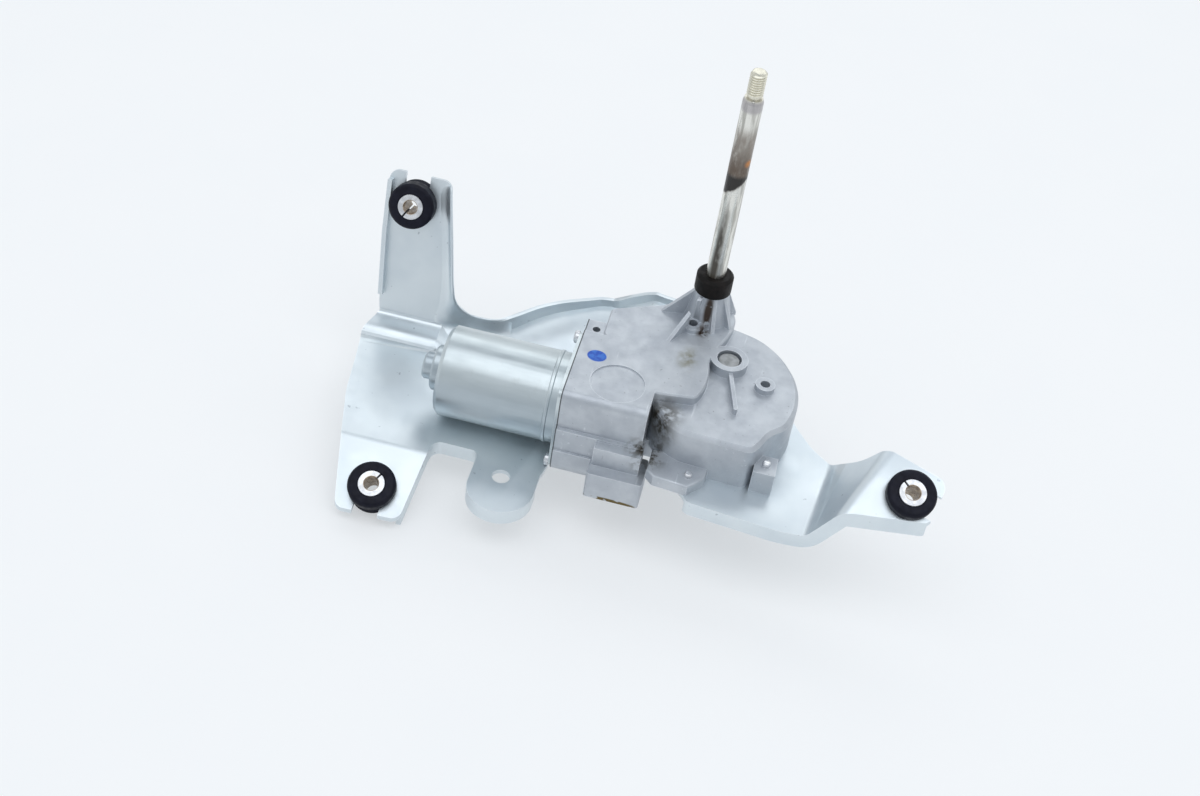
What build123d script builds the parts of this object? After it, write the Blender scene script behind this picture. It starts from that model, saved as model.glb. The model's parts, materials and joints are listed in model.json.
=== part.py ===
from build123d import *
import math
import os

# Rear wiper motor on its mounting bracket.  Millimetres.  The drawing frame has its origin where the
# output shaft's axis crosses the bracket's upper face, X along the motor from yoke to gear case and
# Z up the output shaft.  Every part is shifted at the end so that the row's origin is the arm seat.

# ---------------------------------------------------------------- driving dimensions
arm_seat_height = 161.0  # bracket face to the shoulder that the wiper arm bears on
thread_length = 14.0
thread_radius = 4.0
shaft_radius = 5.0
running_gap = 0.03  # radial clearance of every shaft in its bearing
seat_gap = 0.2  # gap between neighbours that move past each other

# gear train
wheel_x, wheel_y = 16.7, -30.1
gear_module = 1.25
wheel_teeth = 40
worm_pitch_radius = 4.7
worm_height = 5.6
worm_length = 38.0
wheel_face = 10.0
flank_backlash = 0.3
wheel_pitch_radius = gear_module * wheel_teeth / 2
motor_y = wheel_y - wheel_pitch_radius - worm_pitch_radius
wheel_bottom = worm_height - wheel_face / 2
wheel_top = worm_height + wheel_face / 2
web_thickness = 7.0
axle_radius = 4.0
axle_head_radius = 5.5
hub_radius = 8.0
hub_top = 22.4
park_disc_thickness = 0.6

# linkage: the crank turns fully and the lever rocks
crank_throw = 10.7
lever_throw = 15.0
link_thickness = 3.0
crank_pin_radius = 3.5
lever_pin_radius = 3.0
link_eye_radius = 6.0
link_half_width = 4.0
lever_hub_radius = 8.0
crank_gap = 2.5  # how far the crank pin stands out of the wheel
open_pivot_gap = 0.3
rod_top = wheel_bottom - crank_gap - open_pivot_gap
rod_bottom = rod_top - link_thickness
lever_top = rod_bottom - open_pivot_gap
lever_bottom = lever_top - link_thickness

# motor yoke
yoke_radius = 22.9
yoke_wall = 1.4
flange_x = -56.5
flange_thickness = 1.6
flange_half = 25.0
screw_offset = 22.0  # the two flange screws lie on the square's diagonal
end_boss_radius = 11.5
end_boss_length = 5.2
bearing_boss_radius = 6.8
bearing_boss_length = 5.2

# armature and magnets
armature_shaft_radius = 3.0
core_radius = 17.0
core_length = 36.0
core_slots = 10
air_gap = 0.6
commutator_radius = 8.5
commutator_length = 13.0
magnet_length = 46.0
magnet_arc = 118.0
brush_room = 12.5  # between the flange and the magnets
yoke_end_room = 4.5  # between the magnets and the can's closed end
yoke_length = brush_room + magnet_length + yoke_end_room

# gear housing: levels are measured from the bracket's upper face
ledge_z = 9.5  # first ledge of the motor block's front
lower_ledge_z = -3.5
block_bottom = -19.6
ledge_step = 2.2
crest_radius = 5.0
sump_radius = 8.0
ring_radius = 9.5
ring_bore = 6.2
web_half_width = 1.0
seat_thickness = 3.0
seat_border = 2.5
foot_height = 6.0
lug_height = 4.0
lug_radius = 6.5
screw_pillar_height = 13.0
motor_bore_radius = 19.0
shaft_clearance = 0.6
screw_hole_radius = 1.7
lightening_floor = -1.0
case_height = 25.4  # lower roof of the gear case
block_top = worm_height + flange_half
case_wall = 2.8
block_end_x = -14.0
case_front_y = -85.0
skirt_depth = 10.2  # how far the case reaches below the bracket's upper face
cover_thickness = 1.2
tower_top = 50.5
tower_top_radius = 8.6
tower_base_radius = 12.0
bush_outer_radius = 7.0
bush_length = 11.0
cap_radius = 9.4
cap_height = 10.5

# bracket
sheet = 2.3
left_plate_z = -20.0
bolt_sleeve_bore = 3.6
sleeve_wall = 3.0
grommet_radius = 12.0
grommet_neck_radius = 8.0
grommet_tail_radius = 9.6
grommet_flange = 5.5
grommet_chamfer = 1.3
grommet_proud = 0.2  # how far the sleeve stands out of each rubber face
rim_height = 8.0
leg_rim_height = 4.0
bend_radius = 5.0  # on the hollow side of every bend
corner_radius = 5.0  # of the plan's corners
tab_centre = (-76.5, -105.5)
tab_radius = 16.5
tab_hole = (-78.1, -97.9)
tab_hole_radius = 4.5
screw_radius = 2.0

# connector
shroud_wall = 2.2
shroud_bottom = -18.0

# ---------------------------------------------------------------- small helpers
ON_FLOOR = (Align.CENTER, Align.CENTER, Align.MIN)
UNDER = (Align.CENTER, Align.CENTER, Align.MAX)
slight_turn = math.radians(70)  # half of the angle between two sides of an outline


def post(radius, z0, z1, x=0.0, y=0.0):
    """Upright cylinder."""
    return Pos(x, y, z0) * Cylinder(radius, z1 - z0, align=ON_FLOOR)


def tube(outer, inner, z0, z1, x=0.0, y=0.0):
    return post(outer, z0, z1, x, y) - post(inner, z0, z1, x, y)


def rod(radius, x0, x1, y=motor_y, z=worm_height):
    """Cylinder along the motor's axis."""
    return Pos(x0, y, z) * Rot(0, 90, 0) * Cylinder(radius, x1 - x0, align=ON_FLOOR)


def pipe(outer, inner, x0, x1):
    return rod(outer, x0, x1) - rod(inner, x0, x1)


def block(x0, x1, y0, y1, z0, z1):
    middle = Pos((x0 + x1) / 2, (y0 + y1) / 2, z0)
    return middle * Box(x1 - x0, y1 - y0, z1 - z0, align=ON_FLOOR)


def outline(points):
    return make_face(Polyline(*points, close=True))


def rounded(points, radius, sweep=60.0, reach=0.46):
    """Closed outline: sharp corners get the radius, slight turns become sweeping curves."""
    curves = []
    last = None
    first = None
    for number, (x, y) in enumerate(points):
        before = points[number - 1]
        after = points[(number + 1) % len(points)]
        back = Vector(before[0] - x, before[1] - y)
        ahead = Vector(after[0] - x, after[1] - y)
        half = math.radians(back.get_angle(ahead)) / 2
        wanted = sweep if half > slight_turn else radius
        cut = min(wanted / math.tan(half), reach * min(back.length, ahead.length))
        arc_radius = cut * math.tan(half)
        start = Vector(x, y) + back.normalized() * cut
        end = Vector(x, y) + ahead.normalized() * cut
        inward = (back.normalized() + ahead.normalized()).normalized()
        middle = Vector(x, y) + inward * (arc_radius / math.sin(half) - arc_radius)
        if last:
            curves.append(Line(last, start))
        curves.append(ThreePointArc(start, middle, end))
        first = first or start
        last = end
    curves.append(Line(last, first))
    return make_face(curves)


def slab(face, z0, z1):
    return Pos(0, 0, z0) * extrude(face, z1 - z0)


def link(start, end, radius, half_width, z0, z1):
    """Flat link with a round eye at each end."""
    (x0, y0), (x1, y1) = start, end
    length = math.hypot(x1 - x0, y1 - y0)
    turn = math.degrees(math.atan2(y1 - y0, x1 - x0))
    bar = Pos(x0, y0, z0) * Rot(0, 0, turn) * Pos(length / 2, 0, 0)
    bar = bar * Box(length, 2 * half_width, z1 - z0, align=ON_FLOOR)
    return post(radius, z0, z1, x0, y0) + bar + post(radius, z0, z1, x1, y1)


def polar(x, y, radius, degrees):
    angle = math.radians(degrees)
    return x + radius * math.cos(angle), y + radius * math.sin(angle)


# ---------------------------------------------------------------- linkage geometry
# At rest crank and rod are in line, so the lever stands at one end of its stroke.
centre_distance = math.hypot(wheel_x, wheel_y)
rod_length = math.sqrt(centre_distance**2 + crank_throw**2 - lever_throw**2)
reach = rod_length + crank_throw
wheel_angle = math.degrees(math.atan2(wheel_y, wheel_x))
lever_cosine = (lever_throw**2 + centre_distance**2 - reach**2) / (2 * lever_throw * centre_distance)
lever_angle = wheel_angle - math.degrees(math.acos(lever_cosine))
lever_pin_at = polar(0, 0, lever_throw, lever_angle)
rod_angle = math.degrees(math.atan2(wheel_y - lever_pin_at[1], wheel_x - lever_pin_at[0]))
crank_pin_at = polar(lever_pin_at[0], lever_pin_at[1], rod_length, rod_angle)

# ---------------------------------------------------------------- gear train
addendum = gear_module
dedendum = 1.28 * gear_module
pressure_slope = math.tan(math.radians(20))
tooth_pitch = math.pi * gear_module
tooth_width = tooth_pitch / 2 - flank_backlash
helix_slope = gear_module / 2 / worm_pitch_radius  # tangent of the worm's lead angle


def wheel_profile(turn):
    """Outline of the toothed rim; the gap between two teeth faces the worm when turn is zero."""
    root = wheel_pitch_radius - dedendum
    tip = wheel_pitch_radius + addendum
    root_half = tooth_width / 2 + dedendum * pressure_slope
    tip_half = tooth_width / 2 - addendum * pressure_slope
    points = []
    for tooth in range(wheel_teeth):
        middle = -math.pi / 2 + turn + (tooth + 0.5) * 2 * math.pi / wheel_teeth
        for radius, side in ((root, -root_half), (tip, -tip_half), (tip, tip_half), (root, root_half)):
            angle = middle + side / radius
            points.append((radius * math.cos(angle), radius * math.sin(angle)))
    return outline(points)


def make_worm_wheel():
    half_twist = wheel_face / 2 * helix_slope / wheel_pitch_radius
    low = Pos(wheel_x, wheel_y, wheel_bottom) * wheel_profile(-half_twist)
    high = Pos(wheel_x, wheel_y, wheel_top) * wheel_profile(half_twist)
    rim = loft([low, high], ruled=True)
    recess = tube(19.0, 11.0, wheel_bottom + web_thickness, wheel_top, wheel_x, wheel_y)
    hub = post(hub_radius, wheel_top - 1, hub_top, wheel_x, wheel_y)
    bore = post(axle_radius + running_gap, wheel_bottom, hub_top, wheel_x, wheel_y)
    pin_hole = post(crank_pin_radius, wheel_bottom, wheel_bottom + web_thickness - 0.6, *crank_pin_at)
    return rim - recess + hub - bore - pin_hole


def make_crank_pin():
    return post(crank_pin_radius, wheel_bottom - crank_gap, wheel_bottom + web_thickness - 0.6, *crank_pin_at)


def make_park_disc():
    low = wheel_bottom + web_thickness
    ring = tube(18.4, 11.6, low, low + park_disc_thickness, wheel_x, wheel_y)
    gap = Pos(wheel_x, wheel_y, low) * Rot(0, 0, 100) * Pos(17, 0, 0) * Box(5, 9, 4)
    return ring - gap


def make_park_contacts():
    """Three spring fingers that hang from the chamber's roof over the park disc."""
    low = wheel_bottom + web_thickness + park_disc_thickness + 0.3
    fingers = []
    for radius in (12.8, 15.0, 17.2):
        x, y = polar(wheel_x, wheel_y, radius, 60)
        foot = Pos(x, y, chamber_roof) * Rot(0, 0, 60) * Box(1.4, 7, 1.0, align=UNDER)
        blade = Pos(x, y, low) * Rot(0, 0, 60) * Pos(0, -2.6, 0)
        blade = blade * Box(1.4, 1.8, chamber_roof - low, align=ON_FLOOR)
        fingers.append(foot + blade)
    return Compound(fingers)


chamber_radius = wheel_pitch_radius + addendum + 1.0
chamber_roof = wheel_top + 0.7
axle_seat_z = block_top - 3.0
axle_end = wheel_bottom - crank_gap


def make_wheel_axle():
    shank = post(axle_radius, axle_end, axle_seat_z, wheel_x, wheel_y)
    head = post(axle_head_radius, axle_seat_z, axle_seat_z + 1.8, wheel_x, wheel_y)
    groove = tube(axle_radius, axle_radius - 0.8, axle_end + 0.5, axle_end + 1.4, wheel_x, wheel_y)
    return shank + chamfer(head.edges().group_by(Axis.Z)[-1], 0.4) - groove


def make_wheel_clip():
    clip = tube(5.6, axle_radius - 0.8, axle_end + 0.5, axle_end + 1.4, wheel_x, wheel_y)
    return clip - Pos(wheel_x, wheel_y, axle_end) * Rot(0, 0, 30) * Pos(4, 0, 0) * Box(6, 3, 6)


def make_wheel_washer():
    return tube(6.2, axle_radius, axle_end + 1.4, wheel_bottom - seat_gap, wheel_x, wheel_y)


def make_connecting_rod():
    body = link(lever_pin_at, crank_pin_at, link_eye_radius, link_half_width, rod_bottom, rod_top)
    body = body - post(lever_pin_radius + running_gap, rod_bottom, rod_top, *lever_pin_at)
    return body - post(crank_pin_radius + running_gap, rod_bottom, rod_top, *crank_pin_at)


def make_output_lever():
    body = link((0, 0), lever_pin_at, link_eye_radius, link_half_width, lever_bottom, lever_top)
    body = body + post(lever_hub_radius, lever_bottom, lever_top)
    return body - post(thread_radius, lever_bottom, lever_top) - post(
        lever_pin_radius, lever_bottom, lever_top, *lever_pin_at
    )


def make_lever_pin():
    return post(lever_pin_radius, lever_bottom, rod_top, *lever_pin_at)


# ---------------------------------------------------------------- output shaft and tower
pocket_roof = -1.4
collar_radius = 5.9
washer_thickness = 1.0
clip_thickness = 1.0
groove_depth = 0.6
lower_bush_z = chamber_roof + 0.7


def make_output_shaft():
    spigot = post(thread_radius, lever_bottom, lever_top)
    collar = post(collar_radius, lever_top, pocket_roof - seat_gap)
    shank = post(shaft_radius, lever_top, arm_seat_height - 2)
    taper = Pos(0, 0, arm_seat_height - 2) * Cone(shaft_radius, thread_radius + 0.4, 2, align=ON_FLOOR)
    tip = post(thread_radius, arm_seat_height, arm_seat_height + thread_length)
    tip = chamfer(tip.edges().group_by(Axis.Z)[-1], 0.9)
    low = tower_top + washer_thickness + seat_gap
    groove = tube(shaft_radius + 1, shaft_radius - groove_depth, low, low + clip_thickness)
    return spigot + collar + (shank - groove) + taper + tip


def make_bush(low):
    return tube(bush_outer_radius, shaft_radius + running_gap, low, low + bush_length)


def make_shaft_washer():
    return tube(8.0, shaft_radius + 0.2, tower_top, tower_top + washer_thickness)


def make_shaft_clip():
    low = tower_top + washer_thickness + seat_gap
    clip = tube(7.0, shaft_radius - groove_depth, low, low + clip_thickness)
    return clip - Pos(6, 0, low) * Box(6, 3, 6)


cap_skirt = 3.5  # how far the rubber cap reaches down over the tower


def make_shaft_cap():
    """Rubber cap pushed over the tower, with a lip round the shaft."""
    low = tower_top - cap_skirt
    body = post(cap_radius, low, low + cap_height)
    body = chamfer(body.edges().group_by(Axis.Z)[-1], 1.5)
    body = chamfer(body.edges().group_by(Axis.Z)[0], 0.5)
    body = body - post(tower_top_radius, low, tower_top + 5.4)
    return body - post(shaft_radius + 0.15, low, low + cap_height)


def make_shaft_seal():
    low = tower_top + washer_thickness + seat_gap + clip_thickness + 0.5
    return tube(tower_top_radius, shaft_radius + 0.08, low, tower_top + 5.4)

# ---------------------------------------------------------------- motor
yoke_end = flange_x - yoke_length
bore_radius = yoke_radius - yoke_wall
magnet_x = flange_x - brush_room - magnet_length
core_x = magnet_x + (magnet_length - core_length) / 2
commutator_x = flange_x - 6.0
brush_plate_x = flange_x + 5.5
brush_plate_thickness = 1.6
brush_pocket_radius = 22.0
worm_x = wheel_x - worm_length / 2
worm_bearing_x = block_end_x - 4
tip_bearing_x = worm_x + worm_length + 3.5
tip_bearing_length = 6.0
shaft_left = yoke_end - end_boss_length - bearing_boss_length + yoke_wall + 1.6
shaft_right = tip_bearing_x + tip_bearing_length + 0.5
tunnel_radius = 7.0


def along_motor(profile):
    """Turn an (x, r) profile about the motor's axis."""
    face = outline([(x, motor_y + r) for x, r in profile])
    axis = Axis((0, motor_y, 0), (1, 0, 0))
    return Pos(0, 0, worm_height) * revolve(face, axis)


def make_yoke():
    """Deep-drawn can with two steps at its closed end and a square flange."""
    wall = yoke_wall
    step1 = yoke_end - end_boss_length
    step2 = step1 - bearing_boss_length
    can = rod(yoke_radius, yoke_end, flange_x)
    can = chamfer(can.edges().group_by(Axis.X)[0], 2.0)
    cavity = rod(bore_radius, yoke_end + wall, flange_x)
    boss = rod(end_boss_radius, step1, yoke_end + wall)
    boss = chamfer(boss.edges().group_by(Axis.X)[0], 1.0)
    nose = rod(bearing_boss_radius, step2, step1 + wall)
    nose = chamfer(nose.edges().group_by(Axis.X)[0], 1.0)
    bead = along_motor([
        (flange_x - 8.4, yoke_radius - 0.5),
        (flange_x - 7.6, yoke_radius + 0.5),
        (flange_x - 6.2, yoke_radius + 0.5),
        (flange_x - 5.4, yoke_radius - 0.5),
    ])
    flange = Pos(flange_x - flange_thickness, motor_y, worm_height) * Rot(0, 90, 0)
    flange = flange * Box(2 * flange_half, 2 * flange_half, flange_thickness, align=ON_FLOOR)
    flange = fillet(flange.edges().filter_by(Axis.X), 4)
    body = can + boss + nose + bead + flange - cavity
    body = body - rod(end_boss_radius - wall, step1 + wall, yoke_end + wall + 1)
    body = body - rod(bearing_boss_radius - wall, step2 + wall, step1 + wall + 1)
    for y, z in flange_screw_places():
        body = body - rod(1.9, flange_x - 4, flange_x + 1, y, z)
    return body


def flange_screw_places():
    rear_top = (motor_y + screw_offset, worm_height + screw_offset)
    front_bottom = (motor_y - screw_offset, worm_height - screw_offset)
    return [rear_top, front_bottom]


def make_flange_screws():
    screws = []
    for y, z in flange_screw_places():
        head_x = flange_x - flange_thickness
        head = rod(3.2, head_x - 2.4, head_x, y, z)
        head = chamfer(head.edges().group_by(Axis.X)[0], 0.6)
        cross = block(head_x - 2.4, head_x - 1.2, y - 1.8, y + 1.8, z - 0.4, z + 0.4)
        cross = cross + block(head_x - 2.4, head_x - 1.2, y - 0.4, y + 0.4, z - 1.8, z + 1.8)
        screws.append(head + rod(1.7, head_x, flange_x + 9, y, z) - cross)
    return Compound(screws)


def make_yoke_bearing():
    step1 = yoke_end - end_boss_length
    left = shaft_left - 0.5
    return pipe(bearing_boss_radius - yoke_wall, armature_shaft_radius + running_gap, left, step1 + 2.5)


def make_thrust_ball():
    """Ball between the shaft's end and the closed boss."""
    radius = (shaft_left - (yoke_end - end_boss_length - bearing_boss_length + yoke_wall)) / 2
    return Pos(shaft_left - radius, motor_y, worm_height) * Sphere(radius - 0.02)


def make_armature_shaft():
    """Steel shaft with the single-start worm cut on its gear end."""
    shank = rod(armature_shaft_radius, shaft_left, shaft_right)
    root = worm_pitch_radius - dedendum
    tip = worm_pitch_radius + addendum
    root_half = tooth_width / 2 + dedendum * pressure_slope
    tip_half = tooth_width / 2 - addendum * pressure_slope
    turns = worm_length / tooth_pitch
    start = Pos(worm_x, motor_y, worm_height) * Rot(0, 90, 0)
    ridge_path = Helix(tooth_pitch, turns * tooth_pitch, root)
    section = outline([
        (root - 0.35, -root_half - 0.1), (tip, -tip_half), (tip, tip_half), (root - 0.35, root_half + 0.1),
    ])
    section = Plane(origin=(0, 0, 0), x_dir=(1, 0, 0), z_dir=(0, -1, 0)) * section
    ridge = sweep(section, path=ridge_path, is_frenet=True)
    # the crest that faces the wheel stands opposite the gap between two teeth
    crest_turn = 90 + 360 * (worm_x - wheel_x) / tooth_pitch
    ridge = start * Rot(0, 0, crest_turn) * ridge
    core = rod(root, worm_x - 1.5, worm_x + worm_length + 1.5)
    return shank + core + ridge


def make_armature_core():
    core = rod(core_radius, core_x, core_x + core_length)
    for slot in range(core_slots):
        angle = 360 * slot / core_slots
        mouth = Pos(core_x, motor_y, worm_height) * Rot(angle, 0, 0) * Pos(0, 0, core_radius - 3)
        core = core - mouth * Pos(core_length / 2, 0, 1.5) * Box(core_length, 1.6, 4)
        core = core - mouth * Rot(0, 90, 0) * Cylinder(2.6, core_length, align=ON_FLOOR)
    return core - rod(armature_shaft_radius, core_x, core_x + core_length)


def make_armature_windings():
    """Two bundles of end turns joined by the coil sides that fill the slots."""
    inner = armature_shaft_radius
    bundles = pipe(core_radius - 1.5, inner, core_x - 4.5, core_x)
    right = core_x + core_length
    bundles = bundles + pipe(core_radius - 1.5, inner, right, commutator_x - 1.0 - 5.5)
    for slot in range(core_slots):
        angle = 360 * slot / core_slots
        side = Pos(core_x, motor_y, worm_height) * Rot(angle, 0, 0) * Pos(0, 0, core_radius - 3)
        side = side * Rot(0, 90, 0) * Cylinder(2.1, core_length, align=ON_FLOOR)
        bundles = bundles + side
    return bundles


def make_commutator():
    left = commutator_x - 6.5
    body = pipe(commutator_radius, armature_shaft_radius, left, left + commutator_length)
    for bar in range(core_slots):
        angle = 360 * (bar + 0.5) / core_slots
        groove = Pos(left, motor_y, worm_height) * Rot(angle, 0, 0) * Pos(0, 0, commutator_radius)
        body = body - groove * Pos(commutator_length / 2, 0, 0) * Box(commutator_length, 0.5, 1.0)
    return body


def make_magnet(middle):
    outer = bore_radius
    inner = core_radius + air_gap + 0.6
    arc = pipe(outer, inner, magnet_x, magnet_x + magnet_length)
    keep = []
    for side in (-1, 0, 1):
        angle = math.radians(middle + side * magnet_arc / 2)
        keep.append((40 * math.cos(angle), 40 * math.sin(angle)))
    wedge = outline([(0, 0)] + keep)
    wedge = Plane(origin=(magnet_x, motor_y, worm_height), x_dir=(0, 1, 0), z_dir=(1, 0, 0)) * wedge
    return arc & extrude(wedge, magnet_length)


brush_turns = (0, 180)
brush_size = 6.0
brush_x = commutator_x + 0.2


def at_brush(turn, radius):
    """Place whose Z points out along one brush."""
    return Pos(brush_x, motor_y, worm_height) * Rot(turn + 90, 0, 0) * Pos(0, 0, radius)


def make_brush_plate():
    return pipe(brush_pocket_radius, 10.0, brush_plate_x, brush_plate_x + brush_plate_thickness)


def make_brush_holders():
    holders = []
    outer = brush_size + 2 * 0.8
    for turn in brush_turns:
        body = at_brush(turn, 9.6) * Box(outer, outer, 11.0, align=ON_FLOOR)
        hollow = at_brush(turn, 9.6) * Box(brush_size, brush_size, 10.2, align=ON_FLOOR)
        foot_x = brush_x + outer / 2
        foot = at_brush(turn, 10.4) * Pos((brush_plate_x - brush_x + outer / 2) / 2, 0, 0)
        foot = foot * Box(brush_plate_x - foot_x, outer, 10.2, align=ON_FLOOR)
        holders.append(body - hollow + foot)
    return Compound(holders)


def make_brushes():
    brushes = []
    for turn in brush_turns:
        side = brush_size - 0.2
        body = at_brush(turn, commutator_radius - 1) * Box(side, side, 7, align=ON_FLOOR)
        brushes.append(body - rod(commutator_radius + 0.1, flange_x - 20, flange_x + 20))
    return Compound(brushes)


def make_brush_springs():
    """Coils drawn as plain tubes between brush and holder."""
    springs = []
    low = commutator_radius + 6
    for turn in brush_turns:
        coil = at_brush(turn, low) * Cylinder(2.2, 19.8 - low, align=ON_FLOOR)
        springs.append(coil - at_brush(turn, low) * Cylinder(1.5, 19.8 - low, align=ON_FLOOR))
    return Compound(springs)


def make_choke_coils():
    coils = []
    left = brush_plate_x + brush_plate_thickness
    for side in (-1, 1):
        coils.append(rod(2.8, left, left + 12, motor_y + side * 12, worm_height + 9))
    return Compound(coils)


def make_worm_bearing():
    return pipe(tunnel_radius, armature_shaft_radius + running_gap, worm_bearing_x, worm_bearing_x + 7)


def make_tip_bearing():
    right = tip_bearing_x + tip_bearing_length
    return pipe(tunnel_radius - 1.5, armature_shaft_radius + running_gap, tip_bearing_x, right)


def make_thrust_pad():
    return rod(armature_shaft_radius, shaft_right + 0.05, shaft_right + 1.6)


# ---------------------------------------------------------------- gear housing
lever_sweep = lever_throw + link_eye_radius + 0.7
tunnel_left = block_end_x - 6.0
tunnel_right = tip_bearing_x + tip_bearing_length + 4.0


def gear_floor(margin):
    """Plan of the space that wheel, crank and lever need, grown by a margin."""
    sweep_side = 2 * (lever_sweep + margin)
    sector = Circle(lever_sweep + margin)
    rear = lever_pin_at[1] + link_eye_radius + 0.9 + margin
    sector = sector & Pos(-sweep_side / 2 + 10 + margin, rear - sweep_side / 2) * Rectangle(
        sweep_side, sweep_side
    )
    hub = Circle(lever_hub_radius + 1.2 + margin)
    chamber = Pos(wheel_x, wheel_y) * Circle(chamber_radius + margin)
    return sector + hub + chamber


def case_floor(margin):
    """Plan of the case below the bracket's face: the gear space and the worm's tunnel."""
    width = 2 * (tunnel_radius + margin)
    tunnel = Pos((tunnel_left + tunnel_right) / 2, motor_y) * Rectangle(tunnel_right - tunnel_left, width)
    return gear_floor(margin) + tunnel


cover_screw_turns = (60, 0, -60, -120)
cover_screw_reach = chamber_radius - 3.0


def cover_screw_places():
    return [polar(wheel_x, wheel_y, cover_screw_reach, turn) for turn in cover_screw_turns]


rib_feet = ((194, 23.6), (242, 32.5), (290, 15.2), (329, 15.9), (30, 15.5), (95, 15.5))
rib_thickness = 2.0
rib_top = 46.5


def make_tower():
    height = rib_top - block_top
    cone = Pos(0, 0, block_top) * Cone(tower_base_radius, tower_top_radius, height, align=ON_FLOOR)
    cone = cone + post(tower_top_radius, rib_top, tower_top)
    for turn, foot in rib_feet:
        rib = outline([
            (0, block_top - 2), (foot, block_top - 2), (foot, block_top), (tower_top_radius, rib_top),
            (0, rib_top),
        ])
        rib = Plane(origin=(0, 0, 0), x_dir=(1, 0, 0), z_dir=(0, -1, 0)) * rib
        rib = Pos(0, rib_thickness / 2, 0) * extrude(rib, rib_thickness)
        cone = cone + Rot(0, 0, turn) * rib
    return cone


high_plan = [
    (-47, -36), (-47, -13), (-22, -0.5), (-14, 7), (-6, 12.5), (4, 13.5), (12, 8.5), (15.5, 0),
    (14, -12), (10, -24), (7.5, -34), (9.5, -47), (8.5, -57), (5.8, -64.6), (-10.5, -67.4), (-16, -67.4),
    (-16, -36),
]
low_plan = [
    (-16, -60), (-14, -69), (-9, -76), (-2.5, -82), (5, -85), (38, -86.2), (41.5, -79.5),
    (44.5, -71), (51.8, -64), (55, -50), (54.2, -37), (50.3, -25), (42, -12), (31, -3), (17.5, 0.6),
    (0, 3), (-16, 0),
]
boss_one = (-5.5, -12.8)
boss_two = (36.8, -40.4)
boss_radius = 5.0
boss_hole_radius = 2.5
boss_height = 2.5
lug_a = (46.0, -80.5)
lug_b = (11.0, -93.0)
lug_c = (-22.0, 16.5)


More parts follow.
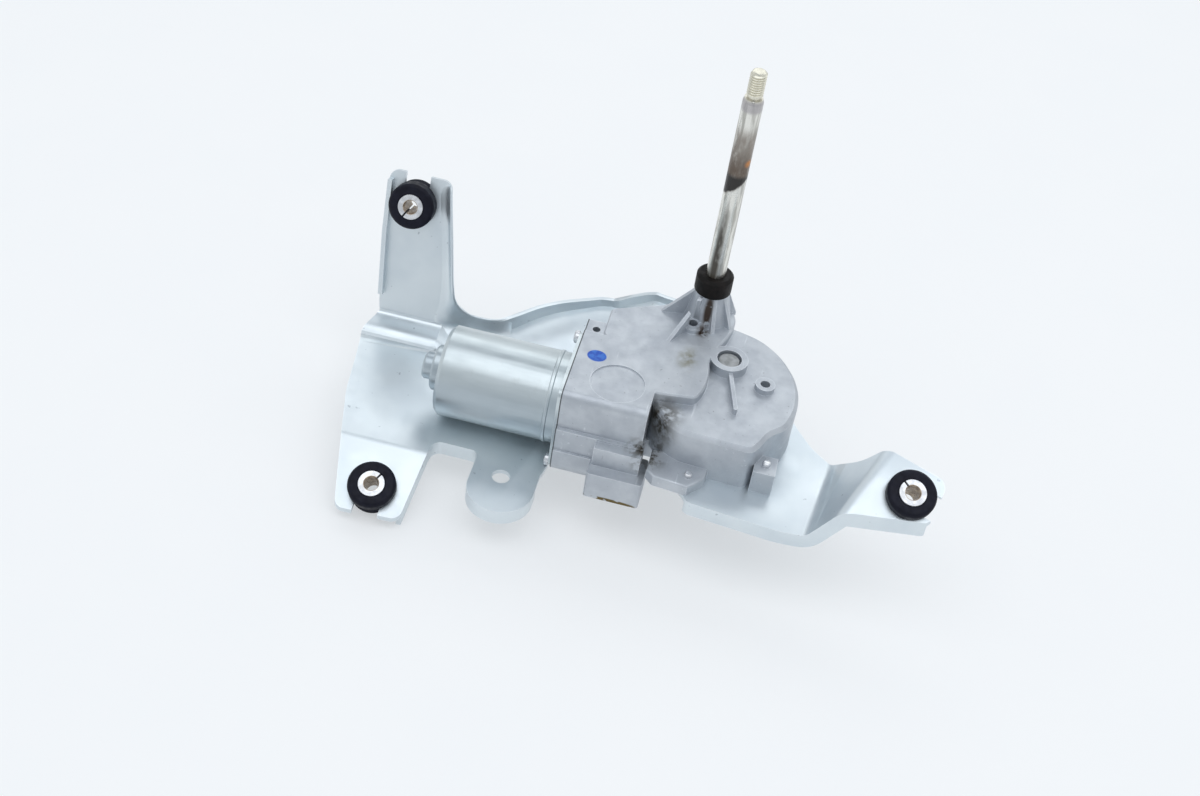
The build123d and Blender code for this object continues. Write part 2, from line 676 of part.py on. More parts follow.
def make_gear_housing():
    """Die-cast case: motor block, two-level roof, shaft tower, skirt, feet and connector shroud."""
    low_case = slab(rounded(low_plan, 6.0, 40.0), 0, case_height)
    low_case = chamfer(low_case.edges().group_by(Axis.Z)[-1], 2.0)
    high_case = slab(rounded(high_plan, 4.0), 0, block_top)
    high_case = chamfer(high_case.edges().group_by(Axis.Z)[-1], 0.8)
    rear_y = motor_y + flange_half
    upper = block(flange_x, block_end_x, case_front_y, rear_y, ledge_z, block_top)
    upper = fillet(upper.edges().filter_by(Axis.X).group_by(Axis.Z)[-1].sort_by(Axis.Y)[0], crest_radius)
    middle = block(flange_x, block_end_x, case_front_y - ledge_step, rear_y, lower_ledge_z, ledge_z)
    lower_front = case_front_y - 1.5 * ledge_step
    lower = block(flange_x, block_end_x - 3, lower_front, rear_y, block_bottom, lower_ledge_z)
    lower = fillet(lower.edges().filter_by(Axis.X).group_by(Axis.Z)[0], sump_radius)
    body = low_case + high_case + upper + middle + lower
    body = body + block(flange_x, -46, -37, -24, 18, block_top - 1.5)
    ring = post(ring_radius, case_height - 3, block_top, wheel_x, wheel_y)
    rib_end = (wheel_x + 8.8, wheel_y - 33.4)
    rib = link((wheel_x, wheel_y), rib_end, web_half_width, web_half_width, case_height - 2, block_top - 1.5)
    body = body + ring + rib + make_tower()
    body = body + post(boss_radius, block_top - 3, block_top + boss_height, *boss_one)
    body = body + post(boss_radius, case_height - 3, case_height + 3.2, *boss_two)
    # seats on the bracket
    body = body + slab(case_floor(case_wall + seat_border), 0, seat_thickness)
    body = body + slab(case_floor(case_wall), -skirt_depth, 0.5)
    body = body + block(lug_a[0] - 5.5, lug_a[0] + 5.3, lug_a[1] - 6, lug_a[1] + 6.5, 0, screw_pillar_height)
    foot = outline([(-9, -80), (-9, -95), (-5, -99), (12, -100.5), (19, -92), (20, -80)])
    foot = fillet(slab(foot, 0, foot_height).edges().group_by(Axis.Z)[-1], 1.2)
    body = body + foot + link(lug_c, (-13, 2), lug_radius, lug_radius - 0.5, 0, lug_height)
    # connector shroud
    body = body + block(-36, -12.8, -92.5, -80, -3, 8.6)
    shroud = block(-37, -9.5, -99, -80, shroud_bottom, -2.5)
    shroud = fillet(shroud.edges().filter_by(Axis.Z), 1.5)
    body = body + shroud
    # hollows
    body = body - rod(brush_pocket_radius, flange_x - 1, brush_plate_x + brush_plate_thickness)
    body = body - rod(motor_bore_radius, flange_x, worm_bearing_x - 4)
    body = body - rod(tunnel_radius, worm_bearing_x - 5, tip_bearing_x - 0.5)
    body = body - rod(tunnel_radius - 1.5, tip_bearing_x - 1, tip_bearing_x + tip_bearing_length)
    body = body - rod(armature_shaft_radius, tip_bearing_x, shaft_right + 1.6)
    body = body - post(chamber_radius, -skirt_depth, chamber_roof, wheel_x, wheel_y)
    body = body - post(hub_radius + 1.5, 0, hub_top + seat_gap, wheel_x, wheel_y)
    body = body - slab(gear_floor(0), -skirt_depth, pocket_roof)
    body = body - post(axle_radius, 0, block_top, wheel_x, wheel_y)
    body = body - post(ring_bore, axle_seat_z, block_top, wheel_x, wheel_y)
    body = body - post(shaft_radius + shaft_clearance, pocket_roof - 1, tower_top)
    body = body - post(bush_outer_radius, lower_bush_z, lower_bush_z + bush_length)
    body = body - post(bush_outer_radius, tower_top - bush_length, tower_top)
    body = body - post(boss_hole_radius, block_top - 6, block_top + boss_height, *boss_one)
    body = body - post(boss_hole_radius + 0.9, block_top + boss_height, tower_top, *boss_one)
    body = body - post(boss_hole_radius, case_height - 2, case_height + 4, *boss_two)
    body = body - block(-43.5, -22, -31.5, -13, lightening_floor, block_top - 4)
    for y, z in flange_screw_places():
        body = body - rod(screw_hole_radius, flange_x - 1, flange_x + 9, y, z)
    body = body - post(2.0, 14, 30, -51, -30.5)
    body = body - block(-34.8, -11.7, -99 + shroud_wall, -87, shroud_bottom - 1, -5.0)
    for x, y in (lug_a, lug_b, lug_c):
        body = body - post(screw_radius, -1, 14, x, y)
    for x, y in cover_screw_places():
        lug = post(3.6, -skirt_depth, wheel_bottom - 0.8, x, y)
        body = body + lug - post(1.5, -skirt_depth, -2, x, y)
    return body


def make_gear_cover():
    plate = slab(gear_floor(case_wall), -skirt_depth - cover_thickness, -skirt_depth)
    plate = plate - block(flange_x, block_end_x + 0.5, -120, 0, -skirt_depth - 5, 0)
    for x, y in cover_screw_places():
        plate = plate - post(1.7, -skirt_depth - 2, -skirt_depth + 1, x, y)
    return plate


def make_cover_screws():
    screws = []
    low = -skirt_depth - cover_thickness
    for x, y in cover_screw_places():
        head = post(2.8, low - 2.0, low, x, y)
        head = chamfer(head.edges().group_by(Axis.Z)[0], 0.5)
        screws.append(head + post(1.5, low, -2.5, x, y))
    return Compound(screws)


def make_bracket_screws():
    screws = []
    for (x, y), top in ((lug_a, 15.6), (lug_b, 8.2), (lug_c, 6.0)):
        head = post(4.0, -sheet - 3.0, -sheet, x, y)
        head = chamfer(head.edges().group_by(Axis.Z)[0], 0.6)
        shank = chamfer(post(screw_radius, -sheet, top, x, y).edges().group_by(Axis.Z)[-1], 0.5)
        screws.append(head + shank)
    return Compound(screws)


# ---------------------------------------------------------------- connector
def make_connector_socket():
    """Moulded insert with a hollow for the harness plug, open downward."""
    outer = block(-34.8, -11.7, -99 + shroud_wall, -87, shroud_bottom + 0.5, -5.0)
    return outer - block(-33.2, -13.3, -95.2, -88.6, shroud_bottom, -8.0)


terminal_count = 4


def make_connector_terminals():
    blades = []
    for number in range(terminal_count):
        x = -30.8 + number * 5.1
        blades.append(block(x - 0.4, x + 0.4, -93.2, -90.6, -15.0, -8.0))
    return Compound(blades)

# ---------------------------------------------------------------- bracket
def below(origin, normal, depth):
    """Everything under a plane that is sunk by a depth along its own normal."""
    up = Vector(*normal).normalized()
    place = Plane(origin=Vector(*origin) - up * depth, z_dir=up)
    return place * Box(700, 700, 400, align=UNDER)


front_leg_normal = (0, -0.44, 0.898)
front_leg_bend = (-138, -94.5, left_plate_z)
step_end = (-155, -6.5, left_plate_z + 6.8)
rear_leg_normal = (0, -0.934, 0.358)
right_leg_normal = (0.0855, -0.44, 0.892)
right_leg_bend = (90.9, -89.7, 26.7)
riser_foot = (74.4, -81.2, 0)
riser_normal = (-0.82, 0.09, 0.57)
riser_head = (90.9, -89.7, 26.7)
joggle_top = (-30, 0, 0)
joggle_foot = (-50, 0, left_plate_z)
joggle_normal = (-1, 0, 1)


def bend(solid, place, radius):
    """Round the fold that passes nearest to a place; a fold turned inside out stays sharp."""
    if radius < 0.5:
        return solid
    return fillet(solid.edges().sort_by_distance(place)[0], radius)


def outside(depth):
    return bend_radius + sheet - depth


def inside(depth):
    return bend_radius + depth


def flat_under(depth):
    return below((0, 0, left_plate_z), (0, 0, 1), depth)


def front_leg_under(depth):
    folded = flat_under(depth) & below(front_leg_bend, front_leg_normal, depth)
    return bend(folded, front_leg_bend, outside(depth))


def right_under(depth):
    """Upper plate with the slope down to the lower plate and the riser up to the right leg."""
    upper = below(joggle_top, joggle_normal, depth) & below((0, 0, 0), (0, 0, 1), depth)
    upper = bend(upper, joggle_top, outside(depth))
    leg = below(riser_foot, riser_normal, depth) & below(right_leg_bend, right_leg_normal, depth)
    leg = bend(leg, riser_head, outside(depth))
    whole = flat_under(depth) + upper + leg
    whole = bend(whole, joggle_foot, inside(depth))
    return bend(whole, riser_foot, inside(depth))


left_plan = [
    (-174.6, -21), (-171.8, -39.6), (-168.5, -64.5), (-160.6, -96), (-152.8, -128.5),
    (-120.5, -127.5), (-115.6, -84.8), (-93, -84.8), (-93, -93), (-60, -93), (-58, -80), (-58, -31),
    (-54, -31), (-54, 52), (-60.4, 50), (-80.4, 37), (-91.1, 27.2), (-100.9, 14.8), (-109, 6),
    (-121, 3), (-121, -28), (-135, -28), (-135, -21),
]
rim_split_x = -61.0  # where the lower plate's rim hands over to the upper plate's
tab_neck_y = -88.0
leg_split_x = -104.0  # the front leg folds down on this side only
step_plan = [(-172.6, -34), (-174.6, -21), (-169.4, -6.5), (-169.4, 2), (-135, 2), (-135, -34)]
rear_leg_rise = 92.0
rear_leg_head = (step_end[1] + 0.358 * rear_leg_rise, step_end[2] + 0.934 * rear_leg_rise)
step_path = [(-34, left_plate_z), (-21, left_plate_z), step_end[1:], rear_leg_head]
right_plan = [
    (-66, 46.9), (-66, -31), (-7, -31), (-7, -86), (2, -89), (13.5, -104.5), (59.5, -108.7),
    (75.8, -107), (89, -105), (126.1, -98.7), (130.9, -78.4), (115, -75.2), (98.4, -71.6), (90, -69.5),
    (84, -63), (76.7, -54.7), (67, -47.1), (54.1, -29.8), (46, -10), (30, 14), (5, 33), (-12, 38.5),
    (-28, 40.5), (-36, 44.5), (-44, 49.5), (-52, 52.3), (-60.4, 50),
]
rear_leg_width = [
    (-169.4, -1.5), (-170.7, 6.6), (-174, 44.1), (-175.4, 77), (-142.7, 77), (-137.4, 40.5), (-135, 14),
    (-135, -1.5),
]
leg_place = Plane(origin=(0, step_end[1], step_end[2]), x_dir=(1, 0, 0), z_dir=(0, -0.934, 0.358))


def band(face, clip, z0, z1):
    """Rim of a plan, as thick as the sheet, kept where the clip box reaches."""
    edge = face - offset(face, amount=-sheet)
    return slab(edge, z0, z1) & clip


grommet_seats = {
    "rear_left": ((-160.3, 15.5, 44.2), step_end, rear_leg_normal, 90),
    "front_left": ((-137.6, -115.9, -30.5), front_leg_bend, front_leg_normal, -90),
    "right": ((114.4, -89.6, 24.5), right_leg_bend, right_leg_normal, -12),
}


def seat(name):
    """Plane in a leg's upper face whose X runs out to the leg's free end."""
    about, on_leg, normal, turn = grommet_seats[name]
    up = Vector(*normal).normalized()
    about = Vector(*about)
    centre = about - up * (about - Vector(*on_leg)).dot(up)
    flat = Plane(origin=centre, x_dir=Vector(1, 0, 0) - up * up.X, z_dir=up)
    return flat * Rot(0, 0, turn)


def slot(name):
    """Round hole for the grommet's neck with a slot out to the leg's end."""
    hole = Cylinder(grommet_neck_radius, 24)
    mouth = Pos(20, 0, 0) * Box(40, 13, 24)
    return seat(name) * (hole + mouth)


def rear_leg():
    """Step up from the lower plate and the steep rear leg, folded from one strip."""
    strip = extrude(stand(sheet_section(step_path), -180), 60, dir=(1, 0, 0))
    (foot_y, foot_z), (knee_y, knee_z) = step_path[1:3]
    strip = bend(strip, (-150, foot_y, foot_z), inside(0))
    strip = bend(strip, (-150, foot_y, foot_z - sheet), outside(0))
    strip = bend(strip, (-150, knee_y, knee_z), inside(0))
    strip = bend(strip, (-150, knee_y + sheet, knee_z - 1.0), outside(0))
    width = rounded(rear_leg_width, corner_radius)
    keep = slab(outline(step_plan), -60, knee_z) + extrude(leg_place * width, 14.0, both=True)
    edge = extrude(leg_place * (width - offset(width, -sheet)), leg_rim_height)
    edge = edge & (leg_place * Pos(-155, 41, 0) * Box(60, 62, 20))
    return (strip & keep) + edge


def make_bracket():
    """Pressed-steel bracket: two levels, three legs, turned lips and a raised rear rim."""
    neck = Rectangle(2 * tab_radius, tab_neck_y - tab_centre[1])
    tab = Pos(*tab_centre) * Circle(tab_radius) + Pos(tab_centre[0], (tab_centre[1] + tab_neck_y) / 2) * neck
    left_face = rounded(left_plan, corner_radius) + tab
    leg_side = block(-200, leg_split_x, -140, 60, -100, 100)
    tab_side = block(leg_split_x, -40, -140, 60, -100, 100)
    zone = slab(left_face, -90, 40)
    left_sheet = (front_leg_under(0) - front_leg_under(sheet)) & zone & leg_side
    left_sheet = left_sheet + ((flat_under(0) - flat_under(sheet)) & zone & tab_side)
    lip_zone = block(-125.5, -57, -124, -80, -90, 40) - block(-62, -50, -100, -80, -90, 40)
    lip = band(left_face, lip_zone, -90, 40)
    left_lip = (front_leg_under(0) - front_leg_under(rim_height)) & lip & leg_side
    left_lip = left_lip + ((flat_under(0) - flat_under(rim_height)) & lip & tab_side)
    right_face = rounded(right_plan, corner_radius)
    right_sheet = (right_under(0) - right_under(sheet)) & slab(right_face, -60, 80)
    right_lip = (right_under(0) - right_under(rim_height)) & band(
        right_face, block(12, 125, -115, -98, -60, 80), -60, 80
    )
    opening = slab(case_floor(case_wall + 0.8), -40, 40) + block(flange_x - 1.2, -12.4, -120, -33, -40, 40)
    rim = (right_under(-rim_height) - right_under(sheet)) & band(
        right_face, block(rim_split_x, 2, 25, 60, -60, 80), -60, 80
    )
    rear_rim = (flat_under(-rim_height) - flat_under(sheet)) & band(
        left_face, block(-121, rim_split_x, 2, 55, -60, 80), -60, 80
    )
    body = left_sheet + left_lip + right_sheet + right_lip + rim + rear_rim + rear_leg() + make_corner()
    body = body - opening
    for name in grommet_seats:
        body = body - slot(name)
    body = body - post(tab_hole_radius, left_plate_z - 10, left_plate_z + 10, *tab_hole)
    for x, y in (lug_a, lug_b, lug_c):
        body = body - post(screw_radius + 0.3, -4, 1, x, y)
    return body


def make_corner():
    """Twisted web between the rear leg's foot and the flat plate's raised rim."""
    tall = sheet_section([(-30, -20), (-21, -20), (-6.5, -13.2), (-0.9, 1.3)])
    short = sheet_section([(-30, -20), (-21, -20), (3, -20), (6, -12)])
    return loft([stand(tall, -135), stand(short, -121)], ruled=True)


def sheet_section(path):
    """Closed outline of a folded sheet whose upper line is the path."""
    lower = []
    for number, (y, z) in enumerate(path):
        before = path[max(number - 1, 0)]
        after = path[min(number + 1, len(path) - 1)]
        into = math.atan2(z - before[1], y - before[0]) if number else None
        out = math.atan2(after[1] - z, after[0] - y) if number < len(path) - 1 else into
        into = out if into is None else into
        middle = (into + out) / 2
        reach = sheet / math.cos((out - into) / 2)
        lower.append((y + reach * math.sin(middle), z - reach * math.cos(middle)))
    return path + lower[::-1]


def stand(points, x):
    """Face in the YZ plane at one X."""
    return make_face(Polyline(*[(x, y, z) for y, z in points], close=True))


# ---------------------------------------------------------------- grommets and sleeves
def make_grommet(name):
    """Rubber bush with a groove that the leg's sheet lies in."""
    half = grommet_flange
    upper = Cylinder(grommet_radius, half, align=ON_FLOOR)
    upper = chamfer(upper.edges().group_by(Axis.Z)[-1], grommet_chamfer)
    lower = Pos(0, 0, -sheet) * Cylinder(grommet_tail_radius, half, align=UNDER)
    lower = chamfer(lower.edges().group_by(Axis.Z)[0], grommet_chamfer)
    neck = Pos(0, 0, -sheet) * Cylinder(grommet_neck_radius, sheet, align=ON_FLOOR)
    bore = Cylinder(bolt_sleeve_bore + sleeve_wall, 60)
    return seat(name) * (upper + lower + neck - bore)


sleeve_length = sheet + 2 * grommet_flange + 2 * grommet_proud


def make_sleeve(name):
    """Rolled steel sleeve, split along one side."""
    wall = Cylinder(bolt_sleeve_bore + sleeve_wall, sleeve_length) - Cylinder(bolt_sleeve_bore, sleeve_length)
    split = Pos(bolt_sleeve_bore + sleeve_wall / 2, 0, 0) * Box(sleeve_wall * 2, 0.8, sleeve_length)
    return seat(name) * Pos(0, 0, -sheet / 2) * Rot(0, 0, 150) * (wall - split)


# ---------------------------------------------------------------- all parts
def all_parts():
    parts = {"bracket": make_bracket()}
    for name in grommet_seats:
        parts["grommet_" + name] = make_grommet(name)
        parts["sleeve_" + name] = make_sleeve(name)
    parts["yoke"] = make_yoke()
    parts["gear_housing"] = make_gear_housing()
    parts["flange_screws"] = make_flange_screws()
    parts["bracket_screws"] = make_bracket_screws()
    parts["shaft_cap"] = make_shaft_cap()
    parts["shaft_seal"] = make_shaft_seal()
    parts["output_shaft"] = make_output_shaft()
    parts["tower_bush_lower"] = make_bush(lower_bush_z)
    parts["tower_bush_upper"] = make_bush(tower_top - bush_length)
    parts["shaft_washer"] = make_shaft_washer()
    parts["shaft_clip"] = make_shaft_clip()
    parts["wheel_axle"] = make_wheel_axle()
    parts["wheel_clip"] = make_wheel_clip()
    parts["wheel_washer"] = make_wheel_washer()
    parts["gear_cover"] = make_gear_cover()
    parts["cover_screws"] = make_cover_screws()
    parts["armature_shaft"] = make_armature_shaft()
    parts["armature_core"] = make_armature_core()
    parts["armature_windings"] = make_armature_windings()
    parts["commutator"] = make_commutator()
    parts["magnet_upper"] = make_magnet(90)
    parts["magnet_lower"] = make_magnet(-90)
    parts["yoke_bearing"] = make_yoke_bearing()
    parts["thrust_ball"] = make_thrust_ball()
    parts["worm_bearing"] = make_worm_bearing()
    parts["worm_tip_bearing"] = make_tip_bearing()
    parts["thrust_pad"] = make_thrust_pad()
    parts["brush_plate"] = make_brush_plate()
    parts["brush_holders"] = make_brush_holders()
    parts["brushes"] = make_brushes()
    parts["brush_springs"] = make_brush_springs()
    parts["choke_coils"] = make_choke_coils()
    parts["worm_wheel"] = make_worm_wheel()
    parts["crank_pin"] = make_crank_pin()
    parts["park_disc"] = make_park_disc()
    parts["park_contacts"] = make_park_contacts()
    parts["connecting_rod"] = make_connecting_rod()
    parts["output_lever"] = make_output_lever()
    parts["lever_pin"] = make_lever_pin()
    parts["connector_socket"] = make_connector_socket()
    parts["connector_terminals"] = make_connector_terminals()
    return parts


os.makedirs("parts", exist_ok=True)
for name, shape in all_parts().items():
    export_step(Pos(0, 0, -arm_seat_height) * shape, "parts/" + name + ".step")
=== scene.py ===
import bpy
import bmesh
import json
import math
from mathutils import Matrix, Vector


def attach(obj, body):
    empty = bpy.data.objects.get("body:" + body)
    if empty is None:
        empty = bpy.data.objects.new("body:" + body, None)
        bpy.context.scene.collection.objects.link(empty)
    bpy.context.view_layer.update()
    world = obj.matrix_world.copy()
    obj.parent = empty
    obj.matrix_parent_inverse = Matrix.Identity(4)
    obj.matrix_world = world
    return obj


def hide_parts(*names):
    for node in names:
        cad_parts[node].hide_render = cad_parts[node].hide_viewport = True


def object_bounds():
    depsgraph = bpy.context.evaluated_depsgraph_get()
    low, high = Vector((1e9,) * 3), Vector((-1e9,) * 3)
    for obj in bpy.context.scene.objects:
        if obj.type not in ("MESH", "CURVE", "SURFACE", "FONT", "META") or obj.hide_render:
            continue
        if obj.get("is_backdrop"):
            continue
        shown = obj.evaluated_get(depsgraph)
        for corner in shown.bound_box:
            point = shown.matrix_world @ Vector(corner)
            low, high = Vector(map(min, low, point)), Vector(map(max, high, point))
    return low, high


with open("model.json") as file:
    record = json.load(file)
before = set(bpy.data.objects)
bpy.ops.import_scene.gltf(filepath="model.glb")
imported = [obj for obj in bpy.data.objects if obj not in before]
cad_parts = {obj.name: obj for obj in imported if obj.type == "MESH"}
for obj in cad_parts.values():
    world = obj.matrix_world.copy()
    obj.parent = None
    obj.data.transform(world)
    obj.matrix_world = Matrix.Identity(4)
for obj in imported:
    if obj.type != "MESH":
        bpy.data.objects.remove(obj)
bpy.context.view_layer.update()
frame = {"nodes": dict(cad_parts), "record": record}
nodes = frame["nodes"]
print("frame loaded:", len(nodes), "nodes")

bodyOf = {node: body for body, names in frame["record"]["behaviour"]["bodies"].items() for node in names}
slotOf = {part["node"]: part["material_slot"] for part in frame["record"]["subparts"]}
armSeatHeight = 161  # millimetres from the bracket's upper face, where drawing sizes start


def inMetres(x, y, z):
    return (x / 1000, y / 1000, (z - armSeatHeight) / 1000)


# Every finish reads Object coordinates; sizes below are in metres.


class Finish:
    def __init__(self, name, metal=0.0, rough=0.5):
        self.material = bpy.data.materials.new(name)
        self.material.use_nodes = True
        self.tree = self.material.node_tree
        self.shader = self.tree.nodes["Principled BSDF"]
        self.shader.inputs["Metallic"].default_value = metal
        self.shader.inputs["Roughness"].default_value = rough
        self.coords = self.tree.nodes.new("ShaderNodeTexCoord").outputs["Object"]

    def add(self, kind, **settings):
        node = self.tree.nodes.new(kind)
        for key, value in settings.items():
            setattr(node, key, value)
        return node

    def join(self, source, target):
        self.tree.links.new(source, target)

    def stretched(self, scale, turn=(0, 0, 0)):
        mapping = self.add("ShaderNodeMapping")
        mapping.inputs["Scale"].default_value = scale
        mapping.inputs["Rotation"].default_value = turn
        self.join(self.coords, mapping.inputs["Vector"])
        return mapping.outputs["Vector"]

    def noise(self, size, detail, rough=0.55, coords=None):
        node = self.add("ShaderNodeTexNoise")
        node.inputs["Scale"].default_value = 1.0 / size
        node.inputs["Detail"].default_value = detail
        node.inputs["Roughness"].default_value = rough
        self.join(coords or self.coords, node.inputs["Vector"])
        return node.outputs["Fac"]

    def remap(self, value, low, high, toLow=0.0, toHigh=1.0):
        node = self.add("ShaderNodeMapRange")
        node.interpolation_type = "SMOOTHSTEP"
        node.inputs["From Min"].default_value = low
        node.inputs["From Max"].default_value = high
        node.inputs["To Min"].default_value = toLow
        node.inputs["To Max"].default_value = toHigh
        self.join(value, node.inputs["Value"])
        return node.outputs["Result"]

    def maths(self, operation, first, second):
        node = self.add("ShaderNodeMath", operation=operation)
        for socket, value in zip(node.inputs, (first, second)):
            if isinstance(value, (int, float)):
                socket.default_value = value
            else:
                self.join(value, socket)
        return node.outputs["Value"]

    def times(self, first, second):
        return self.maths("MULTIPLY", first, second)

    def most(self, first, second):
        return self.maths("MAXIMUM", first, second)

    def mix(self, factor, first, second):
        node = self.add("ShaderNodeMix", data_type="RGBA")
        for socket, value in ((node.inputs[0], factor), (node.inputs[6], first), (node.inputs[7], second)):
            if isinstance(value, tuple):
                socket.default_value = (*value, 1.0)
            else:
                self.join(value, socket)
        return node.outputs[2]

    def edgeWear(self, radius):
        bevel = self.add("ShaderNodeBevel", samples=4)
        bevel.inputs["Radius"].default_value = radius
        geometry = self.add("ShaderNodeNewGeometry")
        dot = self.add("ShaderNodeVectorMath", operation="DOT_PRODUCT")
        self.join(bevel.outputs["Normal"], dot.inputs[0])
        self.join(geometry.outputs["Normal"], dot.inputs[1])
        return self.remap(dot.outputs["Value"], 0.98, 0.80)

    def spot(self, centre, radius, soft, squeeze=(1, 1, 1)):
        offset = self.add("ShaderNodeVectorMath", operation="SUBTRACT")
        offset.inputs[1].default_value = centre
        self.join(self.coords, offset.inputs[0])
        shape = self.add("ShaderNodeVectorMath", operation="MULTIPLY")
        shape.inputs[1].default_value = squeeze
        self.join(offset.outputs["Vector"], shape.inputs[0])
        length = self.add("ShaderNodeVectorMath", operation="LENGTH")
        self.join(shape.outputs["Vector"], length.inputs[0])
        return self.remap(length.outputs["Value"], radius, radius * soft)

    def axis(self, name):
        split = self.add("ShaderNodeSeparateXYZ")
        self.join(self.coords, split.inputs[0])
        return split.outputs[name]

    def colour(self, value):
        self.join(value, self.shader.inputs["Base Color"])

    def roughness(self, value):
        self.join(value, self.shader.inputs["Roughness"])

    def metallic(self, value):
        self.join(value, self.shader.inputs["Metallic"])

    def bump(self, height, strength, distance, before=None):
        node = self.add("ShaderNodeBump")
        node.inputs["Strength"].default_value = strength
        node.inputs["Distance"].default_value = distance
        self.join(height, node.inputs["Height"])
        if before:
            self.join(before, node.inputs["Normal"])
        self.join(node.outputs["Normal"], self.shader.inputs["Normal"])
        return node.outputs["Normal"]


def mixedMetal(name, light, dark, patch, rough=(0.22, 0.38)):
    values = {"grain": 0.0006, "lift": 0.15, "depth": 0.00008}
    finish = Finish(name, metal=1.0)
    blotch = finish.remap(finish.noise(patch, 5.0), 0.35, 0.65)
    finish.colour(finish.mix(blotch, light, dark))
    finish.roughness(finish.remap(finish.noise(patch * 0.4, 4.0), 0.3, 0.7, *rough))
    finish.bump(finish.noise(values["grain"], 3.0), values["lift"], values["depth"])
    return finish.material


def zincFinish():
    values = {
        "light": (0.74, 0.80, 0.83),
        "dark": (0.67, 0.735, 0.775),
        "edge": (0.88, 0.92, 0.94),
        "smear": (0.80, 0.85, 0.88),
        "speck": (0.30, 0.34, 0.38),
        "rough": (0.33, 0.42),
    }
    finish = Finish("zincPlate", metal=0.85)
    cloud = finish.remap(finish.noise(0.035, 3.0), 0.35, 0.65)
    tone = finish.mix(cloud, values["light"], values["dark"])
    smear = finish.noise(0.02, 4.0, coords=finish.stretched((1, 0.2, 1), (0, 0, 0.3)))
    tone = finish.mix(finish.remap(smear, 0.55, 0.75, 0.0, 0.35), tone, values["smear"])
    speck = finish.noise(0.0035, 2.0)
    tone = finish.mix(finish.remap(speck, 0.71, 0.76, 0.0, 0.5), tone, values["speck"])
    finish.colour(finish.mix(finish.times(finish.edgeWear(0.0009), 0.6), tone, values["edge"]))
    finish.roughness(finish.remap(finish.noise(0.015, 4.0), 0.3, 0.7, *values["rough"]))
    finish.bump(finish.noise(0.0009, 2.0), 0.05, 0.00005)
    return finish.material


def yokeFinish():
    values = {
        "light": (0.63, 0.69, 0.71),
        "dark": (0.54, 0.60, 0.62),
        "edge": (0.86, 0.88, 0.88),
        # painted shade: a dark blue-grey band low on the yoke, standing in for the dark surroundings it
        # reflects
        "shade": (0.33, 0.39, 0.44),
        "paintedShadeTop": (-0.139, -0.149),
        "paintedShadeFoot": (-0.172, -0.158),
        "smudge": (0.46, 0.50, 0.50),
        "rough": (0.30, 0.38),
    }
    finish = Finish("yokeZinc", metal=0.9)
    drawn = finish.remap(finish.noise(0.012, 4.0, coords=finish.stretched((0.25, 1, 1))), 0.35, 0.65)
    tone = finish.mix(drawn, values["light"], values["dark"])
    # painted shade: the yoke is darkened between two heights below its axis, a painted reflection of dark
    # surroundings rather than a tint of the can
    height = finish.axis("Z")
    fromTop = finish.remap(height, *values["paintedShadeTop"])
    shade = finish.times(fromTop, finish.remap(height, *values["paintedShadeFoot"]))
    tone = finish.mix(finish.times(shade, 0.6), tone, values["shade"])
    smudge = finish.noise(0.009, 5.0, 0.6)
    tone = finish.mix(finish.remap(smudge, 0.58, 0.74, 0.0, 0.3), tone, values["smudge"])
    finish.colour(finish.mix(finish.times(finish.edgeWear(0.0008), 0.5), tone, values["edge"]))
    finish.roughness(finish.remap(finish.noise(0.008, 3.0), 0.3, 0.7, *values["rough"]))
    finish.bump(finish.noise(0.0012, 3.0, coords=finish.stretched((0.1, 1, 1))), 0.08, 0.00006)
    return finish.material


